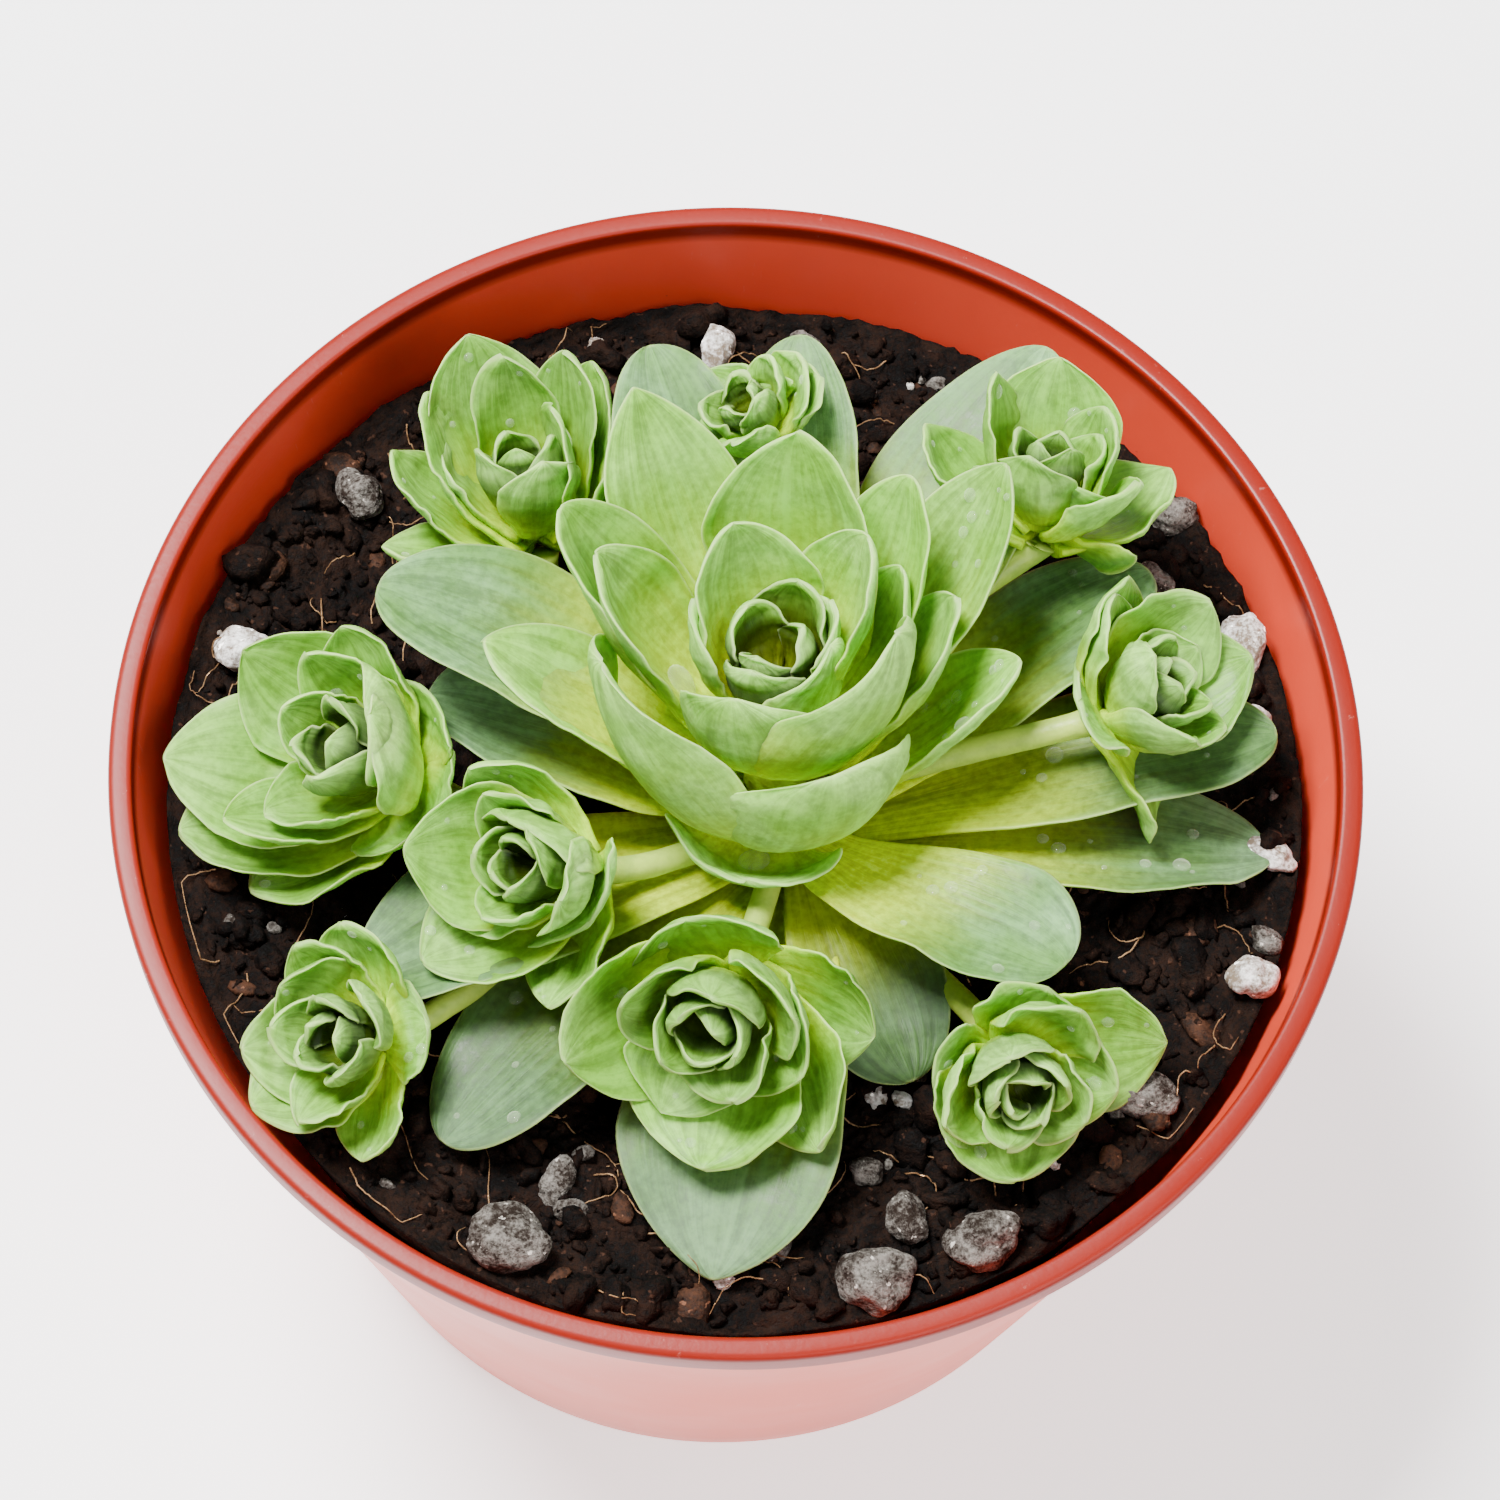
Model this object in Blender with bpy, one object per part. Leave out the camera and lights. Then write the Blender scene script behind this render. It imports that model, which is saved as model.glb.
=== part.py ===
"""A potted rosette succulent: a mother rosette with nine offset rosettes on runners, rooted in a soil mix with
pumice grains, in a round tapered plastic pot.

Run it with: blender --background --python part.py
The origin is the centre of the pot's foot, +Z is up and -Y is the pot's front. Lengths are millimetres here, and
become metres as each mesh is made.
"""

import math

import bmesh
import bpy
from mathutils import Matrix, Vector, noise

MM = 0.001
GAP = 0.3
SHARP_ANGLE = 40.0

# Pot
POT_HEIGHT = 72.0
RIM_RADIUS = 50.0
FOOT_RADIUS = 37.7
WALL = 1.05
LIP_WIDTH = 1.9
LIP_HEIGHT = 2.8
LIP_OVERHANG = 1.1
LIP_ROUND_INSIDE = 0.3
LIP_ROUND_OUTSIDE = 0.5
FLOOR_RISE = 2.4
FLOOR = 1.5
FOOT_RING = 3.0
FOOT_ROUND = 0.6
DRAIN_RADIUS = 3.0
DRAIN_CIRCLE = 21.0
DRAIN_COUNT = 5
DRAIN_SIDES = 12
POT_SIDES = 48

# Soil: its surface is dished under the plant, rises most to the left and right walls, and sinks towards the back
SOIL_TOP = 58.6
SOIL_SLOPE = -0.03
SOIL_DISH_X = 0.0031
SOIL_DISH_Y = 0.0020
SOIL_BUMP = 0.7
SOIL_BUMP_SIZE = 9.0
SOIL_RINGS = (1.0, 0.86, 0.70, 0.52, 0.34, 0.17)
SOIL_SIDES = 32

# Mother stem: where it leaves the soil, and the way that it leans
STEM_BASE = Vector((5.0, -4.0, 62.0))
STEM_LEAN = Vector((-0.13, 0.36, 0.92)).normalized()
STEM_RADIUS = 3.2
STEM_LENGTH = 13.2
ROOT_DEPTH = 12.0
STEM_SIDES = 12
STEM_HOLE_RISE = 8.0

# Leaf shape: its thickness and where its root lies from the stem's axis, then the root's width and the widest
# place as shares of the width and the length, and the powers that shape the outline and the midrib's bend
LEAF_THICK = 0.9
LEAF_ROOT_RADIUS = 4.0
LEAF_ROOT_WIDTH = 0.16
LEAF_WIDEST = 0.66
SWELL_POWER = 1.3
TIP_POWER = 2.2
RISE_POWER = 0.8
LEAST_WRAP_RADIUS = 3.0
LEAST_WRAP_WIDTH = 0.45
LEAST_WRAP_RISE = 0.15
LEAF_STEPS = 7
LEAF_COLUMNS = 4

# Mother leaves from the lowest up: azimuth, height on the stem, length, width, rise at the root, rise at the tip,
# cup (1 wraps the leaf round the stem, 3 is nearly flat) and tip roundness.
# Azimuths and rises are degrees in the rosette's own frame, where azimuth 270 points to the pot's front.
LOWER_LEAVES = (
    (264, 0.0, 36, 17, -10, -20, 3.0, 0.62),
    (353, 0.0, 37, 14, 8, -8, 3.0, 0.62),
    (228, 1.4, 36, 15, -4, -14, 3.0, 0.62),
    (286, 1.5, 24, 12, 0, -12, 3.0, 0.62),
    (6, 2.0, 37, 13, 13, 2, 3.0, 0.62),
    (208, 2.6, 34, 16, 5, -6, 3.0, 0.62),
    (316, 3.5, 28, 12, 17, 4, 3.0, 0.62),
    (30, 3.5, 32, 14, 17, 10, 2.5, 0.62),
    (167, 4.8, 29, 14, 16, 12, 3.0, 0.62),
    (50, 5.0, 39, 15, 27, 22, 2.0, 0.62),
    (110, 5.0, 36, 13, 31, 27, 2.0, 0.62),
    (162, 6.8, 34, 16, 25, 22, 2.5, 0.62),
    (84, 6.8, 35, 13, 32, 27, 2.0, 0.62),
)
CUP_LEAVES = (
    (284, 5.8, 14, 17, 12, 32, 1.5, 0.7),
    (334, 5.3, 29, 10, 28, 60, 1.5, 0.7),
    (201, 7.6, 30, 11, 28, 60, 1.5, 0.7),
    (24, 7.5, 28, 12, 46, 60, 1.3, 0.65),
    (310, 7.8, 25, 18, 18, 86, 1.1, 0.8),
    (222, 9.0, 24, 17, 24, 86, 1.1, 0.8),
    (124, 9.2, 27, 14, 50, 60, 1.2, 0.8),
    (348, 10.2, 22, 12, 38, 84, 1.2, 0.8),
    (46, 9.8, 25, 12, 54, 61, 1.2, 0.8),
    (160, 10.8, 26, 14, 54, 74, 1.2, 0.75),
    (82, 12.0, 23, 16, 60, 67, 1.2, 0.8),
    (182, 12.4, 21, 11, 58, 76, 1.1, 0.75),
)
# The young leaves of the heart still hold together round the growing tip, as one bud
BUD_LEAVES = (
    (330, 14.4, 21, 15, 40, 100, 1.0, 0.9),
    (242, 14.4, 19, 16, 38, 102, 1.0, 0.9),
    (118, 15.0, 18, 14, 74, 90, 1.0, 0.9),
    (32, 15.0, 17, 13, 72, 86, 1.0, 0.9),
    (292, 16.0, 14, 12, 52, 106, 1.0, 0.9),
    (196, 16.0, 14, 11, 66, 104, 1.0, 0.9),
    (350, 16.0, 14, 11, 62, 106, 1.0, 0.9),
    (60, 17.0, 12, 12, 65, 106, 1.0, 0.9),
)
BUD_FOOT = 13.6
BUD_HEIGHT = 6.0
BUD_RADIUS = 2.2
BUD_LEAF_ROOT_RADIUS = 1.6
BUD_LEAF_STEPS = 6
CORE_SIDES = 8

# Offset rosettes: base, axis, leaf length, leaf width, azimuth of the first leaf, rise of the outer leaves at
# root and tip
OFFSETS = {
    "back_left": ((-17.0, 16.5, 70.0), (-0.27, 0.43, 0.86), 14, 11, 20, 25, 60),
    "back": ((1.6, 25.2, 76.5), (-0.17, 0.05, 0.98), 9, 8, 130, 25, 65),
    "back_right": ((23.0, 17.2, 76.5), (0.10, 0.30, 0.93), 13, 11, 330, 25, 60),
    "right": ((27.4, 3.1, 74.5), (0.64, 0.04, 0.77), 13, 10, 150, 25, 60),
    "front_right": ((21.6, -22.0, 68.6), (0.21, -0.70, 0.66), 11, 10, 60, 20, 60),
    "front": ((1.2, -18.3, 72.0), (-0.19, -0.71, 0.68), 13, 13, 250, 15, 60),
    "front_left": ((-10.2, -11.1, 72.0), (-0.49, -0.42, 0.77), 14, 12, 200, 25, 60),
    "far_left": ((-26.0, -25.0, 67.0), (-0.42, -0.35, 0.84), 12, 10, 120, 20, 60),
    "left": ((-25.0, -3.8, 70.5), (-0.62, -0.13, 0.77), 17, 15, 90, 25, 60),
}
GOLDEN_ANGLE = 137.5
OFFSET_LEAVES = 7
OFFSET_LEAF_STEPS = 5
OFFSET_LEAF_COLUMNS = 2
OFFSET_LEAF_ROOT_RADIUS = 1.2
OFFSET_LEAF_CUP = 1.1
OFFSET_LEAF_ROUNDNESS = 0.75
OFFSET_CORE = 1.8
OFFSET_CORE_TOP = 2.0
OFFSET_FOOT = 1.0
# From the outermost leaf to the heart: how far the leaves climb the core and how much they lose of their length,
# all as shares of the length, how much they lose of their width, and the rise that the heart's leaves reach
OFFSET_CLIMB = 0.30
OFFSET_SHORTENING = 0.45
OFFSET_NARROWING = 0.50
HEART_RISE_ROOT = 65.0
HEART_RISE_TIP = 100.0

# Runners: azimuth and height where each leaves the stem, how steeply it climbs there, and how far it holds its
# first and its last direction
RUNNER_RADIUS = 0.85
RUNNER_STEP = 5.0
RUNNER_LEAST_STEPS = 6
RUNNERS = {
    "back_left": (141, 0.8, 0.0, 1.0, 1.0),
    "back": (82, 9.2, 0.6, 1.5, 0.36),
    "back_right": (53, 6.5, 1.0, 1.0, 0.16),
    "right": (8, 5.2, 0.6, 0.6, 0.16),
    "front_right": (311, -1.8, 0.0, 1.0, 1.0),
    "front": (258, 3.5, 0.0, 1.0, 1.0),
    "front_left": (216, 5.0, 0.0, 1.0, 1.0),
    "far_left": (193, 0.8, 0.0, 1.0, 0.16),
    "left": (186, -1.5, 0.0, 1.5, 0.36),
}

# Loose grains on the soil, white perlite and grey pumice: place, half length, half width, half height, turn, kind
GRAIN_LUMPS = 0.22
GRAIN_LUMP_PITCH = 1.7
GRAINS = (
    (40.0, 7.5, 2.9, 2.2, 1.7, 10, "perlite"),
    (42.0, -14.5, 2.0, 1.6, 1.4, 70, "perlite"),
    (33.5, 20.5, 2.4, 2.0, 1.6, 130, "pumice"),
    (-41.0, 9.0, 2.4, 1.8, 1.5, 40, "perlite"),
    (-33.0, 24.5, 2.2, 1.7, 1.5, 0, "pumice"),
    (13.5, -41.0, 3.0, 2.6, 2.0, 160, "pumice"),
    (-15.5, -39.5, 3.0, 2.5, 1.9, 20, "pumice"),
    (21.5, -37.0, 2.8, 2.2, 1.8, 100, "pumice"),
)


# ----------------------------------------------------------------------------------------------- helpers

def clear_scene():
    for item in list(bpy.data.objects):
        bpy.data.objects.remove(item, do_unlink=True)


def make_material(name, colour, roughness):
    material = bpy.data.materials.new(name)
    material.use_nodes = True
    shader = material.node_tree.nodes["Principled BSDF"]
    shader.inputs["Base Color"].default_value = (*colour, 1.0)
    shader.inputs["Roughness"].default_value = roughness
    return material


def make_object(name, bm, colour, roughness, smooth=True):
    """Turn a bmesh in millimetres into a scene object in metres."""
    bmesh.ops.scale(bm, vec=(MM, MM, MM), verts=bm.verts)
    bmesh.ops.recalc_face_normals(bm, faces=bm.faces)
    mesh = bpy.data.meshes.new(name)
    bm.to_mesh(mesh)
    bm.free()
    if smooth:
        mesh.shade_smooth()
        mesh.set_sharp_from_angle(angle=math.radians(SHARP_ANGLE))
    item = bpy.data.objects.new(name, mesh)
    bpy.context.scene.collection.objects.link(item)
    item.data.materials.append(make_material(name, colour, roughness))
    return item


def make_helper(name, bm):
    """A hidden cutter or union member, which isn't a sub-part itself."""
    item = make_object(name, bm, (0.5, 0.5, 0.5), 0.5, smooth=False)
    item.hide_render = True
    item.display_type = "WIRE"
    return item


def add_boolean(item, operation, helpers):
    group = bpy.data.collections.new(item.name + "_helpers")
    bpy.context.scene.collection.children.link(group)
    for helper in helpers:
        bpy.context.scene.collection.objects.unlink(helper)
        group.objects.link(helper)
    modifier = item.modifiers.new(operation.lower(), "BOOLEAN")
    modifier.operation = operation
    modifier.operand_type = "COLLECTION"
    modifier.collection = group
    modifier.solver = "EXACT"


def axis_frame(axis):
    """Two directions square to an axis, the first as close to +X as it can be."""
    axis = Vector(axis).normalized()
    first = (Vector((1, 0, 0)) - axis * axis.x).normalized()
    return axis, first, axis.cross(first)


def turned(profile, sides):
    """A closed body of revolution from a profile of (radius, height) points that starts and ends on the axis."""
    bm = bmesh.new()
    points = [bm.verts.new((radius, 0, height)) for radius, height in profile]
    edges = [bm.edges.new(pair) for pair in zip(points, points[1:])]
    bmesh.ops.spin(bm, geom=points + edges, axis=(0, 0, 1), cent=(0, 0, 0), angle=math.tau, steps=sides)
    bmesh.ops.remove_doubles(bm, verts=bm.verts, dist=0.001)
    return bm


def rod(start, end, radius, sides):
    """A closed round rod between two points."""
    bm = bmesh.new()
    middle = (start + end) / 2
    turn = (end - start).to_track_quat("Z", "Y").to_matrix().to_4x4()
    bmesh.ops.create_cone(bm, cap_ends=True, segments=sides, radius1=radius, radius2=radius,
                          depth=(end - start).length, matrix=Matrix.Translation(middle) @ turn)
    return bm


# ----------------------------------------------------------------------------------------------- pot and soil

def wall_radius(height):
    """Outer radius of the tapered wall."""
    slope = (RIM_RADIUS - LIP_OVERHANG - FOOT_RADIUS) / (POT_HEIGHT - LIP_HEIGHT)
    return FOOT_RADIUS + slope * height


def make_pot():
    lip_bottom = POT_HEIGHT - LIP_HEIGHT
    floor_top = FLOOR_RISE + FLOOR
    profile = [
        (0, floor_top),
        (wall_radius(floor_top) - WALL - FOOT_ROUND, floor_top),
        (wall_radius(floor_top) - WALL, floor_top + FOOT_ROUND),
        (wall_radius(lip_bottom) - WALL, lip_bottom),
        (RIM_RADIUS - LIP_WIDTH, POT_HEIGHT - WALL),
        (RIM_RADIUS - LIP_WIDTH, POT_HEIGHT - LIP_ROUND_INSIDE),
        (RIM_RADIUS - LIP_WIDTH + LIP_ROUND_INSIDE, POT_HEIGHT),
        (RIM_RADIUS - LIP_ROUND_OUTSIDE, POT_HEIGHT),
        (RIM_RADIUS, POT_HEIGHT - LIP_ROUND_OUTSIDE),
        (RIM_RADIUS, lip_bottom + LIP_ROUND_INSIDE),
        (RIM_RADIUS - LIP_ROUND_INSIDE, lip_bottom),
        (wall_radius(lip_bottom), lip_bottom),
        (wall_radius(FOOT_ROUND), FOOT_ROUND),
        (FOOT_RADIUS - FOOT_ROUND, 0),
        (FOOT_RADIUS - FOOT_RING, 0),
        (FOOT_RADIUS - FOOT_RING - FOOT_ROUND, FLOOR_RISE),
        (0, FLOOR_RISE),
    ]
    pot = make_object("pot", turned(profile, POT_SIDES), (0.45, 0.075, 0.03), 0.45)
    drills = []
    for index in range(DRAIN_COUNT):
        angle = math.tau * index / DRAIN_COUNT
        foot = Vector((DRAIN_CIRCLE * math.cos(angle), DRAIN_CIRCLE * math.sin(angle), 0))
        bm = rod(foot, foot + Vector((0, 0, 2 * floor_top)), DRAIN_RADIUS, DRAIN_SIDES)
        drills.append(make_helper(f"drill_{index + 1}", bm))
    add_boolean(pot, "DIFFERENCE", drills)


def soil_height(x, y):
    bump = noise.noise(Vector((x, y, 0)) / SOIL_BUMP_SIZE)
    return SOIL_TOP + SOIL_SLOPE * y + SOIL_DISH_X * x * x + SOIL_DISH_Y * y * y + SOIL_BUMP * bump


def make_soil():
    """A plug that fills the pot, with a bumpy top and a hole for the stem's root end."""
    foot = FLOOR_RISE + FLOOR + GAP
    foot_radius = wall_radius(foot) - WALL - FOOT_ROUND - GAP
    top_radius = wall_radius(SOIL_TOP) - WALL - 2 * GAP
    bm = bmesh.new()
    rings = []
    for share in SOIL_RINGS:
        ring = []
        for index in range(SOIL_SIDES):
            angle = math.tau * index / SOIL_SIDES
            radius = top_radius * share
            x, y = radius * math.cos(angle), radius * math.sin(angle)
            ring.append(bm.verts.new((x, y, soil_height(x, y))))
        rings.append(ring)
    low = []
    for index in range(SOIL_SIDES):
        angle = math.tau * index / SOIL_SIDES
        low.append(bm.verts.new((foot_radius * math.cos(angle), foot_radius * math.sin(angle), foot)))
    for outer, inner in zip([low] + rings, rings):
        for index in range(SOIL_SIDES):
            after = (index + 1) % SOIL_SIDES
            bm.faces.new((outer[index], outer[after], inner[after], inner[index]))
    middle = bm.verts.new((0, 0, soil_height(0, 0)))
    for index in range(SOIL_SIDES):
        bm.faces.new((rings[-1][index], rings[-1][(index + 1) % SOIL_SIDES], middle))
    bm.faces.new(reversed(low))
    soil = make_object("soil", bm, (0.02, 0.012, 0.008), 0.95, smooth=False)
    hole = rod(STEM_BASE - STEM_LEAN * (ROOT_DEPTH + GAP), STEM_BASE + STEM_LEAN * STEM_HOLE_RISE,
               STEM_RADIUS + GAP, STEM_SIDES)
    add_boolean(soil, "DIFFERENCE", [make_helper("stem_hole", hole)])


def make_grains():
    colours = {"perlite": (0.75, 0.73, 0.68), "pumice": (0.32, 0.29, 0.26)}
    for index, (x, y, length, width, height, turn, kind) in enumerate(GRAINS):
        bm = bmesh.new()
        bmesh.ops.create_icosphere(bm, subdivisions=2, radius=1.0)
        for vert in bm.verts:
            lump = noise.noise(vert.co * GRAIN_LUMP_PITCH + Vector((index * 7.0, 0, 0)))
            vert.co *= 1.0 + GRAIN_LUMPS * lump
        bmesh.ops.scale(bm, vec=(length, width, height), verts=bm.verts)
        bmesh.ops.rotate(bm, matrix=Matrix.Rotation(math.radians(turn), 3, "Z"), verts=bm.verts)
        lowest = min(vert.co.z for vert in bm.verts)
        ground = max(soil_height(x + vert.co.x, y + vert.co.y) for vert in bm.verts)
        bmesh.ops.translate(bm, vec=(x, y, ground + GAP - lowest), verts=bm.verts)
        make_object(f"{kind}_grain_{index + 1:02d}", bm, colours[kind], 0.9)


# ----------------------------------------------------------------------------------------------- leaves

def leaf_half_width(share, roundness):
    """Half the leaf's width, from 0 at the tip to 0.5 where it is widest, at a share of the way along."""
    if share < LEAF_WIDEST:
        swell = math.sin(share / LEAF_WIDEST * math.pi / 2) ** SWELL_POWER
        return 0.5 * (LEAF_ROOT_WIDTH + (1 - LEAF_ROOT_WIDTH) * swell)
    past = (share - LEAF_WIDEST) / (1 - LEAF_WIDEST)
    return 0.5 * max(0.0, 1 - past ** TIP_POWER) ** roundness


def leaf_sheet(base, axis, leaf, root_radius, steps, columns):
    """The middle surface of one leaf: a strip that climbs along its own rise, wrapped round its stem's axis."""
    azimuth, height, length, width, rise_root, rise_tip, cup, roundness = leaf
    axis, first, second = axis_frame(axis)
    angle = math.radians(azimuth)
    outward = first * math.cos(angle) + second * math.sin(angle)
    across = second * math.cos(angle) - first * math.sin(angle)
    bm = bmesh.new()
    rows = []
    radius, climb = root_radius, height
    rise_before = math.radians(rise_root)
    for step in range(steps + 1):
        share = step / steps
        rise = math.radians(rise_root + (rise_tip - rise_root) * share ** RISE_POWER)
        if step:
            radius += length / steps * math.cos((rise + rise_before) / 2)
            climb += length / steps * math.sin((rise + rise_before) / 2)
        rise_before = rise
        wrap = cup * max(radius, LEAST_WRAP_RADIUS) / max(abs(math.sin(rise)), LEAST_WRAP_RISE)
        wrap = max(wrap, LEAST_WRAP_WIDTH * width)
        half = width * leaf_half_width(share, roundness)
        middle = base + outward * radius + axis * climb
        lift = axis * math.cos(rise) - outward * math.sin(rise)
        row = []
        for column in range(columns + 1):
            turn = (2 * column / columns - 1) * half / wrap
            place = middle + across * wrap * math.sin(turn) + lift * wrap * (1 - math.cos(turn))
            if half > 0.01 or not row:
                row.append(bm.verts.new(place))
        rows.append(row)
    for lower, upper in zip(rows, rows[1:]):
        for column in range(columns):
            if len(upper) == 1:
                bm.faces.new((lower[column], lower[column + 1], upper[0]))
            else:
                bm.faces.new((lower[column], lower[column + 1], upper[column + 1], upper[column]))
    return bm


def thicken(bm, thickness):
    """Turn a sheet into a closed slab with the sheet in its middle."""
    bmesh.ops.recalc_face_normals(bm, faces=bm.faces)
    bm.normal_update()
    move = {vert: vert.normal * thickness / 2 for vert in bm.verts}
    sheet_faces = list(bm.faces)
    border = [edge for edge in bm.edges if edge.is_boundary]
    twin = {vert: bm.verts.new(vert.co - move[vert]) for vert in list(bm.verts)}
    for face in sheet_faces:
        bm.faces.new([twin[vert] for vert in reversed(face.verts)])
    for edge in border:
        one, two = edge.verts
        bm.faces.new((one, two, twin[two], twin[one]))
    for vert, step in move.items():
        vert.co += step
    return bm


def make_mother_leaves():
    for ring, leaves in (("lower_leaf", LOWER_LEAVES), ("cup_leaf", CUP_LEAVES)):
        for index, leaf in enumerate(leaves):
            sheet = leaf_sheet(STEM_BASE, STEM_LEAN, leaf, LEAF_ROOT_RADIUS, LEAF_STEPS, LEAF_COLUMNS)
            make_object(f"{ring}_{index + 1:02d}", thicken(sheet, LEAF_THICK), (0.26, 0.4, 0.16), 0.5)


def make_rosette(name, base, axis, leaves, root_radius, steps, columns, core_radius, core_foot, core_height):
    """Leaves joined on a short core, as one body."""
    base, axis = Vector(base), Vector(axis).normalized()
    core = rod(base + axis * core_foot, base + axis * (core_foot + core_height), core_radius, CORE_SIDES)
    item = make_object(name, core, (0.3, 0.45, 0.18), 0.5)
    helpers = []
    for index, leaf in enumerate(leaves):
        sheet = leaf_sheet(base, axis, leaf, root_radius, steps, columns)
        helpers.append(make_helper(f"{name}_leaf_{index + 1}", thicken(sheet, LEAF_THICK)))
    add_boolean(item, "UNION", helpers)


def offset_leaves(length, width, spin, open_root, open_tip):
    """Leaves a golden angle apart, which get shorter, narrower and more upright towards the heart."""
    leaves = []
    for index in range(OFFSET_LEAVES):
        share = index / (OFFSET_LEAVES - 1)
        leaves.append((
            spin + GOLDEN_ANGLE * index,
            OFFSET_CLIMB * length * share,
            length * (1 - OFFSET_SHORTENING * share),
            width * (1 - OFFSET_NARROWING * share),
            open_root + (HEART_RISE_ROOT - open_root) * share,
            open_tip + (HEART_RISE_TIP - open_tip) * share ** RISE_POWER,
            OFFSET_LEAF_CUP,
            OFFSET_LEAF_ROUNDNESS,
        ))
    return leaves


def make_offsets():
    for place, (base, axis, length, width, spin, open_root, open_tip) in OFFSETS.items():
        leaves = offset_leaves(length, width, spin, open_root, open_tip)
        core_height = OFFSET_CLIMB * length + OFFSET_CORE_TOP + OFFSET_FOOT
        make_rosette(f"offset_{place}", base, axis, leaves, OFFSET_LEAF_ROOT_RADIUS, OFFSET_LEAF_STEPS,
                     OFFSET_LEAF_COLUMNS, OFFSET_CORE, -OFFSET_FOOT, core_height)


# ----------------------------------------------------------------------------------------------- stems

def make_stem():
    bm = rod(STEM_BASE - STEM_LEAN * ROOT_DEPTH, STEM_BASE + STEM_LEAN * STEM_LENGTH, STEM_RADIUS, STEM_SIDES)
    make_object("mother_stem", bm, (0.35, 0.4, 0.15), 0.6)


def make_runner(place, azimuth, height, climb, hold_start, hold_end):
    """A tube from the stem's side to the underside of an offset rosette, on one smooth curve."""
    axis, first, second = axis_frame(STEM_LEAN)
    angle = math.radians(azimuth)
    outward = first * math.cos(angle) + second * math.sin(angle)
    base, lean = Vector(OFFSETS[place][0]), Vector(OFFSETS[place][1]).normalized()
    start = STEM_BASE + axis * height + outward * (STEM_RADIUS + 2 * GAP)
    end = base - lean * (OFFSET_FOOT + 2 * GAP)
    reach = (end - start).length / 3
    control_one = start + (outward + axis * climb) * reach * hold_start
    control_two = end - lean * reach * hold_end
    count = max(RUNNER_LEAST_STEPS, round((end - start).length / (RUNNER_STEP * RUNNER_RADIUS)))
    curve = bpy.data.curves.new(f"runner_{place}", "CURVE")
    curve.dimensions = "3D"
    curve.bevel_depth = RUNNER_RADIUS * MM
    curve.bevel_resolution = 1
    curve.use_fill_caps = True
    spline = curve.splines.new("POLY")
    spline.points.add(count)
    for index in range(count + 1):
        share = index / count
        rest = 1 - share
        point = (start * rest ** 3 + control_one * 3 * rest ** 2 * share
                 + control_two * 3 * rest * share ** 2 + end * share ** 3)
        spline.points[index].co = (*(point * MM), 1.0)
    item = bpy.data.objects.new(f"runner_{place}", curve)
    bpy.context.scene.collection.objects.link(item)
    curve.materials.append(make_material(item.name, (0.4, 0.45, 0.12), 0.5))


def main():
    clear_scene()
    make_pot()
    make_soil()
    make_stem()
    make_mother_leaves()
    make_rosette("heart_bud", STEM_BASE, STEM_LEAN, BUD_LEAVES, BUD_LEAF_ROOT_RADIUS, BUD_LEAF_STEPS,
                 LEAF_COLUMNS, BUD_RADIUS, BUD_FOOT, BUD_HEIGHT)
    make_offsets()
    for place, route in RUNNERS.items():
        make_runner(place, *route)
    make_grains()


main()
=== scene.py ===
"""Potted rosette succulent: the looks of the plant, its soil and its pot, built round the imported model."""

# %% [markdown]
# # A rosette succulent in a nursery pot
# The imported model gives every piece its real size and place. This script gives them their finish: waxy
# leaves with pale margins, runners, crumbly soil with grains and fibres, and a scuffed plastic pot.
# Everything is in metres, +Z is up, and the pot's foot stands on the plane z = 0.

import math

import bpy
import numpy as np
from mathutils import Matrix, Vector


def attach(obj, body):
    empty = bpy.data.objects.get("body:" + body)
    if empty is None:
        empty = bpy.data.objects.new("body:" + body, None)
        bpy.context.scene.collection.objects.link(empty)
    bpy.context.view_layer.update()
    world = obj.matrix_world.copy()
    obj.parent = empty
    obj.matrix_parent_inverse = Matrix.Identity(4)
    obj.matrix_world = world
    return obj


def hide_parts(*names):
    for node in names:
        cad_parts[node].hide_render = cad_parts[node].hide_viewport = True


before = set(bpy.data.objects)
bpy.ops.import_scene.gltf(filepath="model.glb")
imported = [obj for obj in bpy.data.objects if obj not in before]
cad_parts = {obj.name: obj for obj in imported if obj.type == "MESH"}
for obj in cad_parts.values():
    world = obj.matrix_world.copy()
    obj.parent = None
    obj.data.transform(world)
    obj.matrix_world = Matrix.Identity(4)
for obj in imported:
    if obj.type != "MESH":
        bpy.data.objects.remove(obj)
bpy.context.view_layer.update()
MM = 0.001
print("pieces in the model:", len(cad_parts))

# %% [markdown]
# ## Camera
# The pot is seen from above, 66.5 degrees over the horizon, from about 35 cm away. The lens is
# long, so the pot keeps its round shape. The camera is turned a little round its own axis, as a hand-held
# one would be.

# %% Camera
AIM = Vector((0.0, 0.0, 0.072))
CAMERA_DISTANCE = 0.350
CAMERA_RISE = math.radians(66.5)
CAMERA_ROLL = math.radians(3.7)
LENS = 105.5
SENSOR = 36.0
SHIFT_RIGHT = 0.008


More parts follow.
